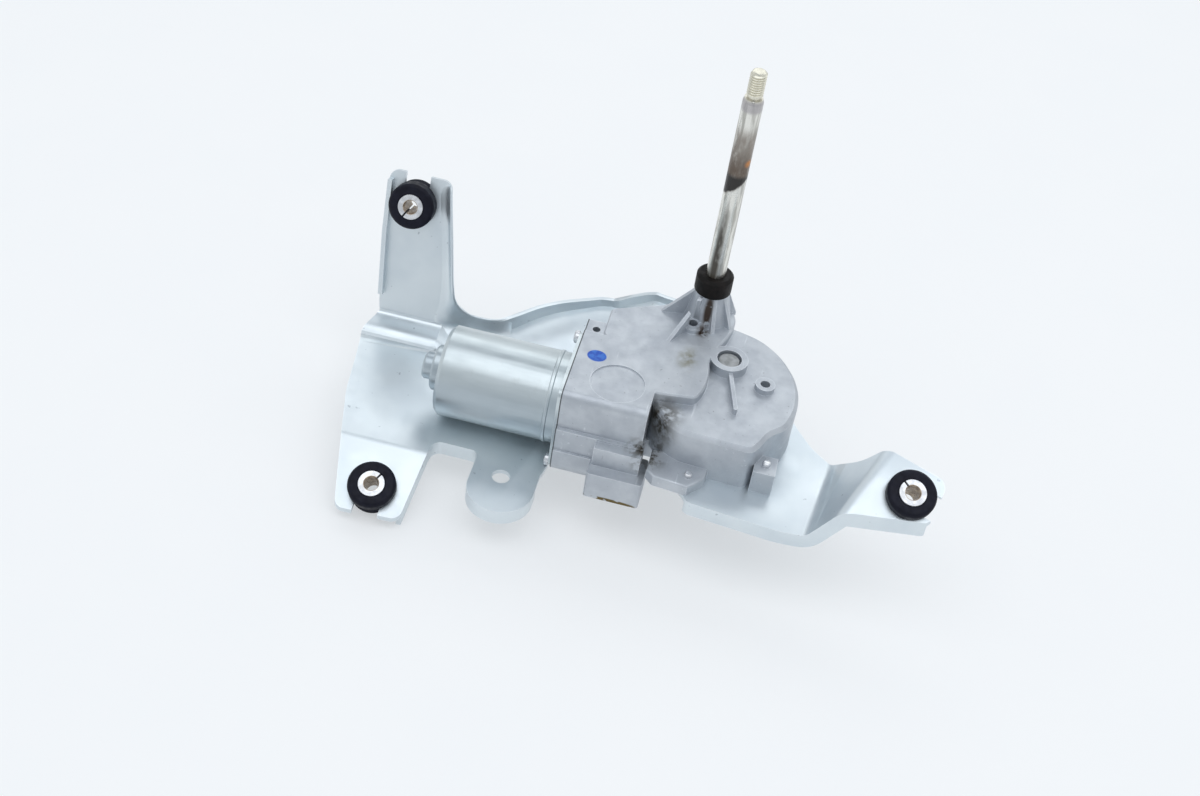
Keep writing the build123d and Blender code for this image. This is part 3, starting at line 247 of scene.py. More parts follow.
def castFinish():
    values = {
        "light": (0.565, 0.595, 0.63),
        "dark": (0.48, 0.51, 0.55),
        "edge": (0.80, 0.83, 0.86),
        "pores": (0.22, 0.23, 0.25),
        "grime": (0.035, 0.030, 0.020),
        "oil": (0.030, 0.016, 0.008),
        "stain": (0.27, 0.26, 0.19),
        "hem": (0.16, 0.12, 0.05),
        "ink": (0.006, 0.075, 0.46),
        "paleInk": (0.03, 0.16, 0.60),
        "jointLine": (0.04, 0.045, 0.05),
        "jointAt": (-0.0558, -0.0561),
        "rough": (0.44, 0.58),
    }
    finish = Finish("castAluminium", metal=0.85)
    cloud = finish.remap(finish.noise(0.016, 5.0, 0.6), 0.35, 0.65)
    tone = finish.mix(cloud, values["light"], values["dark"])
    scratch = finish.noise(0.0022, 3.0, coords=finish.stretched((1, 0.06, 1), (0, 0, 0.5)))
    tone = finish.mix(finish.remap(scratch, 0.66, 0.74, 0.0, 0.45), tone, values["edge"])
    pores = finish.noise(0.0017, 2.0)
    tone = finish.mix(finish.remap(pores, 0.70, 0.76, 0.0, 0.6), tone, values["pores"])
    tone = finish.mix(finish.times(finish.edgeWear(0.0009), 0.75), tone, values["edge"])
    grime = finish.noise(0.0045, 6.0, 0.62)

    def soiled(low, high, place, *shape):  # the grime's pattern, kept near one place
        return finish.times(finish.spot(inMetres(*place), *shape), finish.remap(grime, low, high))

    valley = soiled(0.34, 0.56, (-8, -75, 20), 0.015, 0.25)
    gutter = soiled(0.44, 0.60, (-11, -84, 6), 0.014, 0.3)
    streak = soiled(0.34, 0.42, (0.6, -10, 40), 0.0030, 0.4, (1, 0.5, 0.2))
    puddle = soiled(0.42, 0.52, (0.2, -15.5, 31), 0.0052, 0.3)
    hem = soiled(0.44, 0.50, (-24, -98, -17.6), 0.016, 0.7, (1, 1, 9))
    film = finish.remap(finish.noise(0.006, 3.0), 0.36, 0.62, 0.0, 0.8)
    stain = finish.times(finish.spot(inMetres(-3, -38, 31), 0.0125, 0.1, (1.7, 1, 1)), film)
    tone = finish.mix(stain, tone, values["stain"])
    tone = finish.mix(hem, tone, values["hem"])
    dirt = finish.most(valley, gutter)
    oil = finish.most(streak, puddle)
    tone = finish.mix(dirt, tone, values["grime"])
    tone = finish.mix(oil, tone, values["oil"])
    ink = finish.spot(inMetres(-46.3, -51.7, 30.6), 0.0044, 0.88, (0.86, 1, 1))
    patchy = finish.mix(finish.remap(finish.noise(0.0025, 3.0), 0.40, 0.62), values["ink"], values["paleInk"])
    tone = finish.mix(ink, tone, patchy)
    joint = finish.remap(finish.axis("X"), *values["jointAt"])
    finish.colour(finish.mix(finish.times(joint, 0.85), tone, values["jointLine"]))
    finish.metallic(finish.remap(finish.most(finish.most(dirt, oil), ink), 0.0, 1.0, 0.85, 0.0))
    finish.roughness(finish.remap(finish.noise(0.006, 4.0), 0.3, 0.7, *values["rough"]))
    grainy = finish.bump(finish.noise(0.0013, 4.0, 0.6), 0.28, 0.00016)
    finish.bump(scratch, 0.10, 0.00008, before=grainy)
    return finish.material


def rubberFinish(name, tone, worn):
    finish = Finish(name, metal=0.0)
    cloud = finish.remap(finish.noise(0.004, 5.0), 0.35, 0.7)
    base = finish.mix(cloud, tone, worn)
    finish.colour(finish.mix(finish.times(finish.edgeWear(0.0007), 0.35), base, worn))
    finish.roughness(finish.remap(finish.noise(0.003, 3.0), 0.3, 0.7, 0.42, 0.62))
    finish.bump(finish.noise(0.0005, 3.0), 0.2, 0.0001)
    finish.shader.inputs["Specular IOR Level"].default_value = 0.2
    return finish.material


def shaftFinish():
    values = {
        "bright": (0.80, 0.79, 0.74),
        "worn": (0.50, 0.49, 0.45),
        "shoulder": (0.42, 0.40, 0.41),
        "grey": (0.30, 0.27, 0.24),
        "brown": (0.13, 0.095, 0.07),
        "black": (0.025, 0.022, 0.020),
        "streak": (0.09, 0.08, 0.065),
        "rust": (0.50, 0.20, 0.05),
        "tip": (0.80, 0.77, 0.64),
        "shoulderAt": (-0.0075, -0.005),
        "greyAt": ((-0.012, -0.022), (-0.058, -0.050)),
        "brownAt": ((-0.022, -0.040), (-0.056, -0.050)),
        "blackTop": (-0.0405, -0.0435),
        "blackFoot": (-0.0484, -0.0464),
        "tipAt": (-0.0015, 0.001),
        "slant": 0.95,
        "wobble": 0.004,
        "rough": (0.22, 0.42),
    }
    finish = Finish("shaftSteel", metal=1.0)
    height = finish.axis("Z")
    around = finish.noise(0.0022, 4.0, coords=finish.stretched((1, 1, 0.10)))
    patches = finish.noise(0.004, 5.0, 0.6, finish.stretched((1, 1, 0.35)))

    def belt(fades):  # 1 between two heights, with a soft edge at each
        upper, lower = fades
        return finish.times(finish.remap(height, *upper), finish.remap(height, *lower))

    tone = finish.mix(finish.remap(around, 0.4, 0.6), values["bright"], values["worn"])
    shoulder = finish.times(finish.remap(height, *values["shoulderAt"]), 0.8)
    tone = finish.mix(shoulder, tone, values["shoulder"])
    grey = finish.times(belt(values["greyAt"]), finish.remap(patches, 0.3, 0.55, 0.45, 1.0))
    tone = finish.mix(grey, tone, values["grey"])
    brown = belt(values["brownAt"])
    mottled = finish.times(brown, finish.remap(patches, 0.3, 0.6, 0.5, 1.0))
    tone = finish.mix(mottled, tone, values["brown"])
    slant = finish.maths("SUBTRACT", height, finish.times(finish.axis("X"), values["slant"]))
    wobble = finish.maths("ADD", slant, finish.times(patches, values["wobble"]))
    black = finish.remap(wobble, *values["blackFoot"])
    black = finish.times(black, finish.remap(height, *values["blackTop"]))
    tone = finish.mix(black, tone, values["black"])
    below = finish.remap(wobble, *reversed(values["blackFoot"]))
    clean = finish.mix(finish.remap(around, 0.42, 0.6), values["bright"], values["worn"])
    tone = finish.mix(below, tone, clean)
    streak = finish.spot((-0.0012, -0.005, -0.096), 0.0026, 0.35, (1, 0.5, 0.055))
    streak = finish.times(streak, finish.remap(patches, 0.3, 0.52, 0.35, 1.0))
    tone = finish.mix(streak, tone, values["streak"])
    tone = finish.mix(finish.spot((0.0042, -0.0026, -0.0345), 0.0030, 0.2), tone, values["rust"])
    finish.colour(finish.mix(finish.times(finish.remap(height, *values["tipAt"]), 0.8), tone, values["tip"]))
    finish.metallic(finish.remap(finish.most(finish.most(black, brown), streak), 0.0, 1.0, 1.0, 0.25))
    finish.roughness(finish.remap(around, 0.3, 0.7, *values["rough"]))
    finish.bump(around, 0.15, 0.0001)
    return finish.material


def sleeveFinish(name, centre, axis):  # bright rolled steel, brown inside its bore
    values = {
        "light": (0.80, 0.81, 0.83),
        "dark": (0.60, 0.61, 0.63),
        "rust": (0.50, 0.40, 0.28),
        "deepRust": (0.28, 0.20, 0.13),
        "bore": (0.0042, 0.0037),
    }
    finish = Finish(name, metal=0.9)
    blotch = finish.remap(finish.noise(0.003, 4.0), 0.35, 0.65)
    tone = finish.mix(blotch, values["light"], values["dark"])
    offset = finish.add("ShaderNodeVectorMath", operation="SUBTRACT")
    offset.inputs[1].default_value = inMetres(*centre)
    finish.join(finish.coords, offset.inputs[0])
    across = finish.add("ShaderNodeVectorMath", operation="CROSS_PRODUCT")
    across.inputs[1].default_value = Vector(axis).normalized()
    finish.join(offset.outputs["Vector"], across.inputs[0])
    distance = finish.add("ShaderNodeVectorMath", operation="LENGTH")
    finish.join(across.outputs["Vector"], distance.inputs[0])
    bore = finish.remap(distance.outputs["Value"], *values["bore"])
    rust = finish.mix(finish.remap(finish.noise(0.0016, 4.0), 0.4, 0.6), values["rust"], values["deepRust"])
    finish.colour(finish.mix(bore, tone, rust))
    finish.metallic(finish.remap(bore, 0.0, 1.0, 0.9, 0.3))
    finish.roughness(finish.remap(finish.noise(0.002, 3.0), 0.3, 0.7, 0.24, 0.40))
    finish.bump(finish.noise(0.0008, 3.0), 0.15, 0.00006)
    return finish.material


def plasticFinish(name, tone, other, rough=0.45):
    finish = Finish(name, metal=0.0)
    cloud = finish.remap(finish.noise(0.006, 4.0), 0.35, 0.65)
    finish.colour(finish.mix(cloud, tone, other))
    finish.roughness(finish.remap(finish.noise(0.004, 3.0), 0.3, 0.7, rough - 0.08, rough + 0.1))
    finish.bump(finish.noise(0.0006, 3.0), 0.15, 0.00008)
    return finish.material


finishes = {
    "zinc_steel": zincFinish(),
    "yoke_zinc": yokeFinish(),
    "cast_aluminium": castFinish(),
    "bright_steel": shaftFinish(),
    "screw_steel": mixedMetal("screwZinc", (0.80, 0.81, 0.83), (0.60, 0.61, 0.63), 0.004),
    "black_rubber": rubberFinish("blackRubber", (0.003, 0.0035, 0.010), (0.007, 0.008, 0.018)),
    "cap_rubber": rubberFinish("capRubber", (0.003, 0.0025, 0.002), (0.011, 0.008, 0.007)),
    "sintered_bronze": mixedMetal("bronze", (0.55, 0.40, 0.24), (0.38, 0.27, 0.16), 0.003),
    "copper": mixedMetal("copperWire", (0.70, 0.36, 0.18), (0.50, 0.22, 0.10), 0.002),
    "core_iron": mixedMetal("coreIron", (0.26, 0.26, 0.27), (0.16, 0.16, 0.17), 0.003, (0.4, 0.6)),
    "ferrite": plasticFinish("ferrite", (0.06, 0.06, 0.065), (0.10, 0.10, 0.105), 0.7),
    "white_plastic": plasticFinish("acetal", (0.72, 0.70, 0.62), (0.62, 0.59, 0.50)),
    "dark_plastic": plasticFinish("blackPlastic", (0.020, 0.020, 0.022), (0.035, 0.035, 0.037)),
    "carbon": plasticFinish("carbon", (0.03, 0.03, 0.03), (0.06, 0.06, 0.06), 0.6),
    "sleeveRearLeft": sleeveFinish("sleeveRearLeft", (-160.3, 16.6, 43.8), (0, -0.934, 0.358)),
    "sleeveFrontLeft": sleeveFinish("sleeveFrontLeft", (-137.6, -115.9, -30.5), (0, -0.44, 0.898)),
    "sleeveRight": sleeveFinish("sleeveRight", (114.4, -89.6, 24.5), (0.0855, -0.44, 0.892)),
    "axleHead": mixedMetal("axleHead", (0.40, 0.41, 0.42), (0.30, 0.31, 0.31), 0.003, (0.4, 0.55)),
    "brass_contact": mixedMetal("brass", (0.80, 0.62, 0.28), (0.62, 0.46, 0.20), 0.003),
}

for name, node in nodes.items():
    node.data.materials.clear()
    node.data.materials.append(finishes[slotOf[name]])
print("finishes:", len(finishes))


def wallHeight(face):
    heights = [vert.co.z for vert in face.verts]
    return max(heights) - min(heights)


def isTurnedEdge(edge, values):  # where the sheet turns into a lip or a rim
    if len(edge.link_faces) != 2:
        return False
    flat, wall = sorted(edge.link_faces, key=lambda face: -abs(face.normal.z))
    upright = abs(flat.normal.z) > values["flat"] and abs(wall.normal.z) < values["steep"]
    sharp = edge.calc_face_angle(0) > math.radians(values["turn"])
    return upright and sharp and wallHeight(wall) > values["wall"]


def plateHeight(x):  # the bracket's upper face along its slope, in metres
    low, high, slopeEnd = -0.181, -0.161, 0.050
    return min(high, max(low, low + x + slopeEnd))


def rollRim(mesh, values):  # the rear rim stands lower behind the gear case
    for vert in mesh.verts:
        above = vert.co.z - plateHeight(vert.co.x)
        past = vert.co.x - values["rollStart"]
        if vert.co.y > values["rollFrom"] and past > 0 and above > values["rimFoot"]:
            vert.co.z -= above * min(1.0, past / values["rollRun"]) * values["roll"]


rearLeg = {"y": -6.5, "z": -13.2, "back": 0.358, "rise": 0.934}  # its foot, and how it leans


def legPoint(x, along, proud):  # place on the rear leg: across, up the leg and out of its face
    back, rise = rearLeg["back"], rearLeg["rise"]
    return Vector(inMetres(
        x, rearLeg["y"] + back * along - rise * proud, rearLeg["z"] + rise * along + back * proud))


def levelRightFlange(mesh):  # its place is taken by the wider rolled flange
    values = {"left": -0.150, "right": -0.125, "foot": 0.008, "flush": 0.0003, "height": 0.006}
    foot = legPoint(0, 0, 0)
    outward = Vector((0, -rearLeg["rise"], rearLeg["back"]))
    upward = Vector((0, rearLeg["back"], rearLeg["rise"]))
    for vert in mesh.verts:
        proud = (vert.co - foot).dot(outward)
        along = (vert.co - foot).dot(upward)
        across = values["left"] < vert.co.x < values["right"]
        if across and along > values["foot"] and values["flush"] < proud < values["height"]:
            vert.co -= outward * proud
    bmesh.ops.remove_doubles(mesh, verts=mesh.verts, dist=0.000005)


def stepLift(y, values):  # how far the step stands over its straight slope, in millimetres
    profile = values["profile"]
    for (y0, z0), (y1, z1) in zip(profile, profile[1:]):
        if y0 <= y <= y1:
            straight = values["slopeFoot"][1] + max(0.0, y - values["slopeFoot"][0]) * values["slope"]
            return z0 + (z1 - z0) * (y - y0) / (y1 - y0) - straight
    return 0.0


def isStepFace(face, values):
    across = [vert.co.x * 1000 for vert in face.verts]
    depths = [vert.co.y * 1000 for vert in face.verts]
    inDepth = min(depths) < values["stepBack"] and max(depths) > values["stepFront"]
    return max(across) < values["stepRight"] and inDepth


def shapeStep(mesh, values):  # a short steep riser and a flatter tread, both softly turned
    for y, _ in values["profile"]:
        near = [face for face in mesh.faces if isStepFace(face, values)]
        parts = near + list(dict.fromkeys(item for face in near for item in (*face.verts, *face.edges)))
        bmesh.ops.bisect_plane(mesh, geom=parts, dist=1e-6, plane_co=inMetres(0, y, 0), plane_no=(0, 1, 0))
    web = values["web"]
    for vert in mesh.verts:
        x, y, z = vert.co.x * 1000, vert.co.y * 1000, vert.co.z * 1000 + armSeatHeight
        if x < values["liftEdge"] - 0.1 and z < values["liftTop"]:
            share = min(1.0, (values["liftEdge"] - x) / values["liftRun"])
            vert.co.z += stepLift(y, values) * share / 1000
        if web["left"] < x < web["right"] and y > web["front"] and z > web["foot"]:
            vert.co.z -= web["drop"] / 1000  # the web keeps under the rolled flange


def rolledFlange():  # the leg's right flange, which runs in one sweep into the rear rim
    values = {"thickness": 1.8, "inset": (9.0, 2.6, 0.5, 0.0), "proud": (-0.2, 0.15, 1.9, 5.0)}
    rows = []
    for along, x in ((75.5, -142.8), (66, -141.2), (56, -139.3), (44, -137.1), (33, -135.1), (26, -133.9)):
        across = zip(values["inset"], values["proud"])
        rows.append([legPoint(x - inset, along, proud) for inset, proud in across])
    foot = (
        ((-141.5, -0.6, 1.6), (-135.4, -0.1, 4.2), (-133.1, -1.3, 6.2), (-132.4, -3.2, 8.5)),
        ((-141.5, -4.2, -7.7), (-134.4, -3.1, -2.9), (-132.0, -3.6, 1.2), (-131.2, -4.4, 4.6)),
        ((-139.5, -8.3, -13.6), (-131.2, -5.0, -12.4), (-128.5, -2.6, -6.4), (-127.9, -2.8, -2.0)),
        ((-131.5, -13.0, -16.6), (-125.2, -3.8, -16.4), (-123.2, -0.4, -11.4), (-123.1, -0.1, -7.4)),
        ((-125.5, -13.0, -19.4), (-118.8, -2.6, -18.0), (-117.2, 0.6, -12.9), (-117.4, 1.4, -8.9)),
        ((-119.5, -12.0, -20.2), (-112.8, -0.9, -18.8), (-111.6, 2.2, -13.6), (-111.7, 3.0, -9.9)),
        ((-110.5, -8.0, -20.3), (-106.2, 2.6, -19.0), (-105.7, 5.4, -14.2), (-106.1, 6.0, -10.8)),
        ((-99.0, 0.0, -20.4), (-99.5, 8.5, -20.1), (-100.6, 11.3, -15.5), (-100.9, 11.9, -12.2)),
    )
    rows += [[Vector(inMetres(*place)) for place in row] for row in foot]
    mesh = bmesh.new()
    grid = bmesh.ops.create_grid(mesh, x_segments=3, y_segments=len(rows) - 1, size=1.0)
    for vert, place in zip(grid["verts"], [place for row in rows for place in row]):
        vert.co = place
    bmesh.ops.recalc_face_normals(mesh, faces=mesh.faces)
    if sum(face.normal.z for face in mesh.faces) < 0:
        bmesh.ops.reverse_faces(mesh, faces=mesh.faces)
    bmesh.ops.solidify(mesh, geom=mesh.faces[:], thickness=values["thickness"] / 1000)
    bmesh.ops.recalc_face_normals(mesh, faces=mesh.faces)
    helper = linkedObject("rolledFlange", mesh)
    mesh.free()
    smoother = helper.modifiers.new("smooth", "SUBSURF")
    smoother.levels = smoother.render_levels = 3
    return appliedMesh(helper)


def standOff(mesh, values):  # the bush stands further out of its leg
    middle = Vector(inMetres(*values["middle"]))
    axis = Vector(values["axis"]).normalized()
    for vert in mesh.verts:
        if (vert.co - middle).dot(axis) > 0.0:
            vert.co += axis * values["standOff"] / 1000


def spreadTail(mesh, values):  # the flange behind the sheet is as wide as the one in front
    middle = Vector(inMetres(*values["centre"]))
    axis = Vector(values["axis"]).normalized()
    behind, neck, spread = -0.0026, 0.0078, 0.20
    for vert in mesh.verts:
        along = (vert.co - middle).dot(axis)
        outward = vert.co - middle - axis * along
        if along < behind and outward.length > neck:
            vert.co += outward * spread


def linkedObject(name, mesh):
    data = bpy.data.meshes.new(name)
    mesh.to_mesh(data)
    piece = bpy.data.objects.new(name, data)
    bpy.context.scene.collection.objects.link(piece)
    return piece


def appliedMesh(piece):  # the piece's mesh with its modifiers, and the piece itself taken away
    bpy.context.view_layer.update()
    data = bpy.data.meshes.new_from_object(piece.evaluated_get(bpy.context.evaluated_depsgraph_get()))
    bpy.data.objects.remove(piece)
    return data


def carve(mesh, cuts):  # shallow round recesses in the casting
    blank = linkedObject("blank", mesh)
    tools = []
    for x, y, radius, low, high in cuts:
        tool = bmesh.new()
        made = bmesh.ops.create_cone(tool, cap_ends=True, segments=64, radius1=radius / 1000,
                                     radius2=radius / 1000, depth=(high - low) / 1000)
        bmesh.ops.translate(tool, verts=made["verts"], vec=inMetres(x, y, (low + high) / 2))
        tools.append(linkedObject("cutter", tool))
        tool.free()
        cut = blank.modifiers.new("cut", "BOOLEAN")
        cut.operation = "DIFFERENCE"
        cut.solver = "EXACT"
        cut.object = tools[-1]
    carved = appliedMesh(blank)
    for tool in tools:
        bpy.data.objects.remove(tool)
    mesh.clear()
    mesh.from_mesh(carved)
    bmesh.ops.remove_doubles(mesh, verts=mesh.verts, dist=0.000002)


def raiseRing(mesh, ring):  # a collar round a screw boss
    x, y, inner, outer, low, high = ring
    profile = [mesh.verts.new(inMetres(x + radius, y, z)) for radius, z in
               ((inner, low), (outer, low), (outer, high), (inner, high))]
    loop = [mesh.edges.new((profile[index], profile[(index + 1) % 4])) for index in range(4)]
    bmesh.ops.spin(mesh, geom=profile + loop, cent=inMetres(x, y, low), axis=(0, 0, 1), dvec=(0, 0, 0),
                   angle=math.tau, steps=48, use_merge=True)
    bmesh.ops.recalc_face_normals(mesh, faces=mesh.faces)


def closeForm(nodeName, values):  # the solid's own form, with its facets joined
    mesh = bmesh.new()
    mesh.from_mesh(nodes[nodeName].data)
    bmesh.ops.remove_doubles(mesh, verts=mesh.verts, dist=0.000002)
    if "profile" in values:
        levelRightFlange(mesh)
    bmesh.ops.dissolve_limit(mesh, angle_limit=math.radians(0.4), verts=mesh.verts, edges=mesh.edges)
    if "profile" in values:
        shapeStep(mesh, values)
    if "standOff" in values:
        standOff(mesh, values)
    if "recesses" in values:
        carve(mesh, values["recesses"])
        raiseRing(mesh, values["collar"])
    if "roll" in values:
        rollRim(mesh, values)
    if "centre" in values:
        spreadTail(mesh, values)
    if "bend" in values:
        turned = [edge for edge in mesh.edges if isTurnedEdge(edge, values)]
        bmesh.ops.bevel(mesh, geom=turned, offset=values["bend"], offset_type="OFFSET", segments=4,
                        profile=0.5, affect="EDGES", clamp_overlap=True, material=-1)
    if "profile" in values:
        mesh.from_mesh(rolledFlange())
    return mesh


def finishPiece(mesh, name, nodeName, values):
    data = bpy.data.meshes.new(name)
    for face in mesh.faces:
        face.smooth = True
    mesh.to_mesh(data)
    mesh.free()
    data.set_sharp_from_angle(angle=math.radians(values.get("crease", 32)))
    piece = bpy.data.objects.new(name, data)
    bpy.context.scene.collection.objects.link(piece)
    if values.get("edge"):
        bevel = piece.modifiers.new("softEdges", "BEVEL")
        bevel.width = values["edge"]
        bevel.segments = values.get("segments", 2)
        bevel.limit_method = "ANGLE"
        bevel.angle_limit = math.radians(34)
        bevel.harden_normals = True
        bevel.miter_outer = "MITER_ARC"
    piece.data.materials.append(finishes[values.get("finish", slotOf[nodeName])])
    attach(piece, bodyOf[nodeName])
    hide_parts(nodeName)


softEdged = {
    "bracket": {
        "edge": 0.00055, "bend": 0.0026, "wall": 0.0035, "flat": 0.5, "steep": 0.35, "turn": 50,
        "roll": 0.5, "rollFrom": 0.012, "rollStart": -0.100, "rollRun": 0.05, "rimFoot": 0.0004,
        "slope": 0.469, "slopeFoot": (-21, -20), "stepRight": -120.5, "stepBack": -6.2, "stepFront": -34,
        "liftEdge": -121, "liftRun": 14, "liftTop": -8,
        "web": {"left": -121.6, "right": -120.4, "front": 3.2, "foot": -19.5, "drop": 3.2},
        "profile": ((-27, -20), (-25, -19.9), (-23.8, -19.5), (-22.6, -18.7), (-21.5, -17.7), (-20.4, -16.7),
                    (-19.2, -15.8), (-18, -15.2), (-16.5, -14.8), (-14.5, -14.5), (-12, -14.2), (-10, -13.9),
                    (-8.6, -13.5), (-7.5, -13.0), (-6.6, -12.3)),
    },
    "yoke": {"edge": 0.0005, "segments": 3},
    "gear_housing": {
        "edge": 0.0006, "segments": 3, "recesses": ((-32.4, -67.8, 13.4, 30.0, 33.0),),
        "collar": (-5.5, -12.8, 3.6, 6.0, 29.0, 33.0),
    },
    "shaft_cap": {"edge": 0.0007, "segments": 3},
    "grommet_rear_left": {
        "edge": 0.0008, "segments": 3, "centre": (-160.3, 16.6, 43.8), "axis": (0, -0.934, 0.358),
        "middle": (-160.3, 14.5, 44.6), "standOff": 3.0},
    "grommet_front_left": {
        "edge": 0.0008, "segments": 3, "centre": (-137.6, -115.9, -30.5), "axis": (0, -0.44, 0.898)},
    "grommet_right": {
        "edge": 0.0008, "segments": 3, "centre": (114.4, -89.6, 24.5), "axis": (0.0855, -0.44, 0.892)},
    "sleeve_rear_left": {
        "edge": 0.00025, "middle": (-160.3, 14.5, 44.6), "axis": (0, -0.934, 0.358), "standOff": 3.0,
        "finish": "sleeveRearLeft"},
    "sleeve_front_left": {"edge": 0.00025, "finish": "sleeveFrontLeft"},
    "sleeve_right": {"edge": 0.00025, "finish": "sleeveRight"},
    "flange_screws": {"edge": 0.00025},
    "bracket_screws": {"edge": 0.00025},
    "wheel_axle": {"edge": 0.0003, "finish": "axleHead"},
    "gear_cover": {"edge": 0.0003},
    "cover_screws": {"edge": 0.0003},
    "connector_socket": {"edge": 0.0003},
}
for nodeName, values in softEdged.items():
    finishPiece(closeForm(nodeName, values), nodeName + "Form", nodeName, values)
print("soft-edged pieces:", len(softEdged))


def outputShaft():
    values = {
        "pitch": 1.25, "turns": 9.25, "crest": 3.98, "root": 3.35, "start": 0.9, "length": 14.0, "steps": 28,
    }
    mesh = closeForm("output_shaft", values)
    above = bmesh.ops.bisect_plane(mesh, geom=mesh.verts[:] + mesh.edges[:] + mesh.faces[:], dist=1e-7,
                                   plane_co=(0, 0, 0.00002), plane_no=(0, 0, 1), clear_outer=True)
    rim = [item for item in above["geom_cut"] if isinstance(item, bmesh.types.BMEdge)]
    bmesh.ops.contextual_create(mesh, geom=rim)
    core = bmesh.ops.create_cone(mesh, cap_ends=True, segments=40, radius1=values["root"] / 1000,
                                 radius2=values["root"] / 1000, depth=values["length"] / 1000)
    bmesh.ops.translate(mesh, verts=core["verts"], vec=(0, 0, values["length"] / 2000))
    end = values["length"] / 1000 - 1e-6
    top = [edge for edge in mesh.edges if all(vert.co.z > end for vert in edge.verts)]
    bmesh.ops.bevel(mesh, geom=top, offset=0.0007, offset_type="OFFSET", segments=2, profile=0.5,
                    affect="EDGES", clamp_overlap=True, material=-1)
    pitch = values["pitch"] / 1000
    low = values["start"] / 1000
    sunk, crest = values["root"] - 0.2, values["crest"]
    corners = ((sunk, 0.0), (crest, 0.42), (crest, 0.58), (sunk, 1.0))
    section = [mesh.verts.new((radius / 1000, 0, low + share * pitch)) for radius, share in corners]
    ridge = [mesh.edges.new((section[index], section[(index + 1) % 4])) for index in range(4)]
    steps = round(values["steps"] * values["turns"])
    bmesh.ops.spin(mesh, geom=section + ridge, cent=(0, 0, 0), axis=(0, 0, 1), use_merge=False,
                   dvec=(0, 0, pitch / values["steps"]), angle=math.tau * values["turns"], steps=steps)
    bmesh.ops.holes_fill(mesh, edges=[edge for edge in mesh.edges if edge.is_boundary], sides=4)
    bmesh.ops.recalc_face_normals(mesh, faces=mesh.faces)
    finishPiece(mesh, "outputShaftForm", "output_shaft", {"crease": 25})


outputShaft()
print("shaft thread cut")


def paleFloor():
    values = {
        "size": 6.0, "gap": 0.0003, "colour": (0.93, 0.935, 0.94), "shade": (0.915, 0.925, 0.935),
        "glow": 0.45, "farGlow": 0.75, "glowTint": (0.94, 0.965, 0.985, 1),
    }
    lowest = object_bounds()[0][2]
    mesh = bmesh.new()
    bmesh.ops.create_grid(mesh, x_segments=1, y_segments=1, size=values["size"])
    bmesh.ops.translate(mesh, verts=mesh.verts, vec=(0, 0, lowest - values["gap"]))
    data = bpy.data.meshes.new("floor")
    mesh.to_mesh(data)
    mesh.free()
    floor = bpy.data.objects.new("floor", data)
    bpy.context.scene.collection.objects.link(floor)
    finish = Finish("paleFloor", rough=0.9)
    mottled = finish.remap(finish.noise(0.08, 4.0), 0.3, 0.7)
    finish.colour(finish.mix(mottled, values["colour"], values["shade"]))
    path = finish.add("ShaderNodeLightPath")
    seen = finish.most(path.outputs["Is Camera Ray"], path.outputs["Is Glossy Ray"])
    seen = finish.most(seen, path.outputs["Is Transmission Ray"])
    glow = finish.add("ShaderNodeEmission")
    glow.inputs["Color"].default_value = values["glowTint"]
    glow.inputs["Strength"].default_value = 1.0
    blend = finish.add("ShaderNodeMixShader")
    far = finish.spot((0, 0, 0), 2.6, 0.2)  # 1 by the object, 0 far off
    share = finish.remap(far, 1.0, 0.0, values["glow"], values["farGlow"])
    finish.join(finish.times(seen, share), blend.inputs[0])
    finish.join(finish.shader.outputs[0], blend.inputs[1])
    finish.join(glow.outputs[0], blend.inputs[2])
    finish.join(blend.outputs[0], finish.tree.nodes["Material Output"].inputs["Surface"])
    floor.data.materials.append(finish.material)
    floor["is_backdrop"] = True


def softLight(name, place, target, size, power, tint):
    light = bpy.data.lights.new(name, "AREA")
    light.shape = "RECTANGLE"
    light.size, light.size_y = size
    light.energy = power
    light.color = tint
    lamp = bpy.data.objects.new(name, light)
    lamp.location = place
    direction = Vector(target) - Vector(place)
    lamp.rotation_euler = direction.to_track_quat("-Z", "Y").to_euler()
    bpy.context.scene.collection.objects.link(lamp)


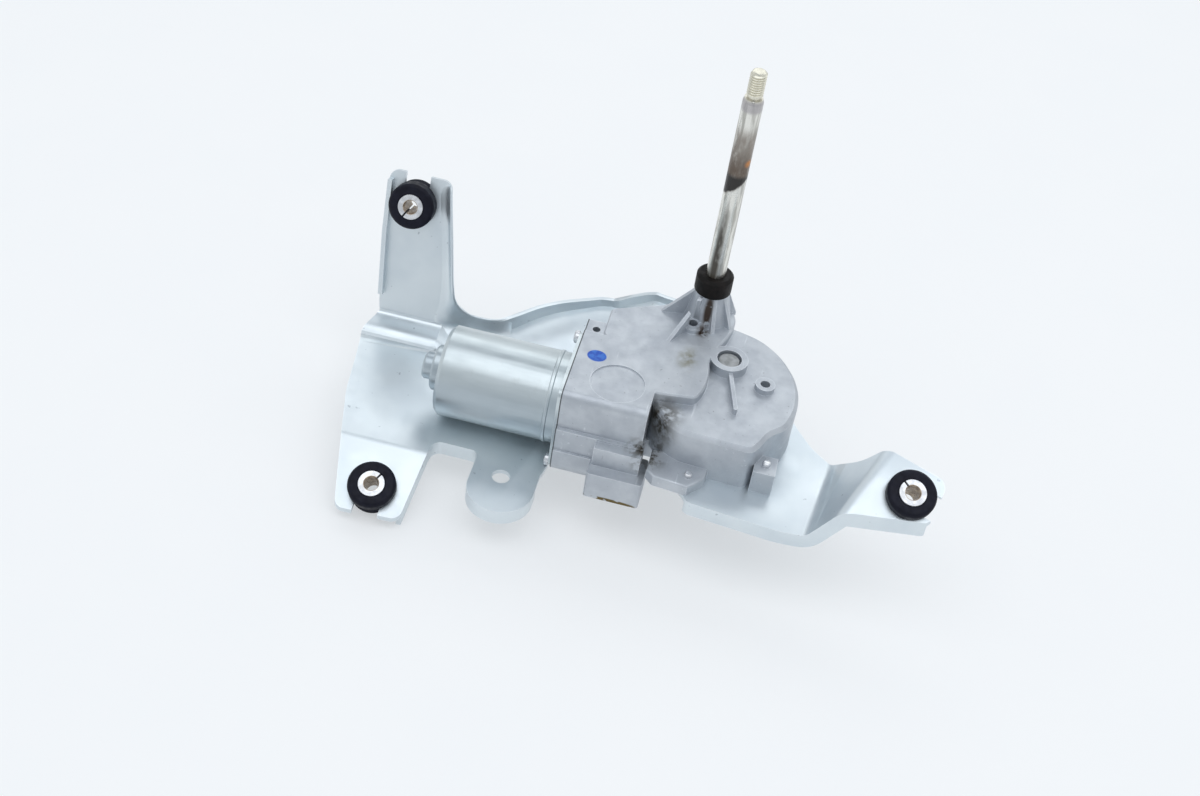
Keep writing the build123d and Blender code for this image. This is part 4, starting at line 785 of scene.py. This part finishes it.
def studio():
    values = {"zenith": (0.36, 0.40, 0.45), "horizon": (0.74, 0.77, 0.80), "rise": (0.55, 0.92),
              "room": (0.42, 0.47, 0.53), "roomEdge": (0.92, 0.99), "darkSide": (0.10, -0.90, 0.42)}
    world = bpy.data.worlds.new("studio")
    bpy.context.scene.world = world
    world.use_nodes = True
    tree = world.node_tree

    def eased(value, limits):
        node = tree.nodes.new("ShaderNodeMapRange")
        node.interpolation_type = "SMOOTHSTEP"
        node.inputs["From Min"].default_value, node.inputs["From Max"].default_value = limits
        tree.links.new(value, node.inputs["Value"])
        return node.outputs["Result"]

    def blended(share, colour):
        node = tree.nodes.new("ShaderNodeMix")
        node.data_type = "RGBA"
        node.inputs[7].default_value = (*colour, 1)
        tree.links.new(share, node.inputs[0])
        return node

    direction = tree.nodes.new("ShaderNodeTexCoord").outputs["Generated"]
    split = tree.nodes.new("ShaderNodeSeparateXYZ")
    tree.links.new(direction, split.inputs[0])
    sky = blended(eased(split.outputs["Z"], values["rise"]), values["zenith"])
    sky.inputs[6].default_value = (*values["horizon"], 1)
    facing = tree.nodes.new("ShaderNodeVectorMath")
    facing.operation = "DOT_PRODUCT"
    facing.inputs[1].default_value = values["darkSide"]
    tree.links.new(direction, facing.inputs[0])
    room = blended(eased(facing.outputs["Value"], values["roomEdge"]), values["room"])
    tree.links.new(sky.outputs[2], room.inputs[6])
    tree.links.new(room.outputs[2], tree.nodes["Background"].inputs["Color"])
    softLight("overhead", (0.0, -0.38, 1.50), (0, -0.05, -0.15), (2.6, 1.3), 12.6, (0.98, 0.99, 1.0))
    softLight("rear", (0.1, 1.3, 1.2), (0, -0.03, -0.15), (2.4, 0.9), 6.2, (0.97, 0.99, 1.0))


def studioCamera():
    values = {
        "place": (0.0266, -0.7062, 0.4383),
        "right": (0.9687, 0.2144, 0.1252),
        "up": (-0.2361, 0.6403, 0.7309),
        "lens": 53.4,
    }
    data = bpy.data.cameras.new("camera")
    data.lens = values["lens"]
    data.sensor_width = 36.0
    data.clip_start = 0.01
    camera = bpy.data.objects.new("camera", data)
    right = Vector(values["right"]).normalized()
    up = Vector(values["up"])
    up = (up - right * up.dot(right)).normalized()
    back = right.cross(up)
    turn = Matrix((right, up, back)).transposed().to_4x4()
    camera.matrix_world = Matrix.Translation(values["place"]) @ turn
    bpy.context.scene.collection.objects.link(camera)
    bpy.context.scene.camera = camera


paleFloor()
studio()
studioCamera()
bpy.context.scene.view_settings.view_transform = "Standard"
print("stage set")
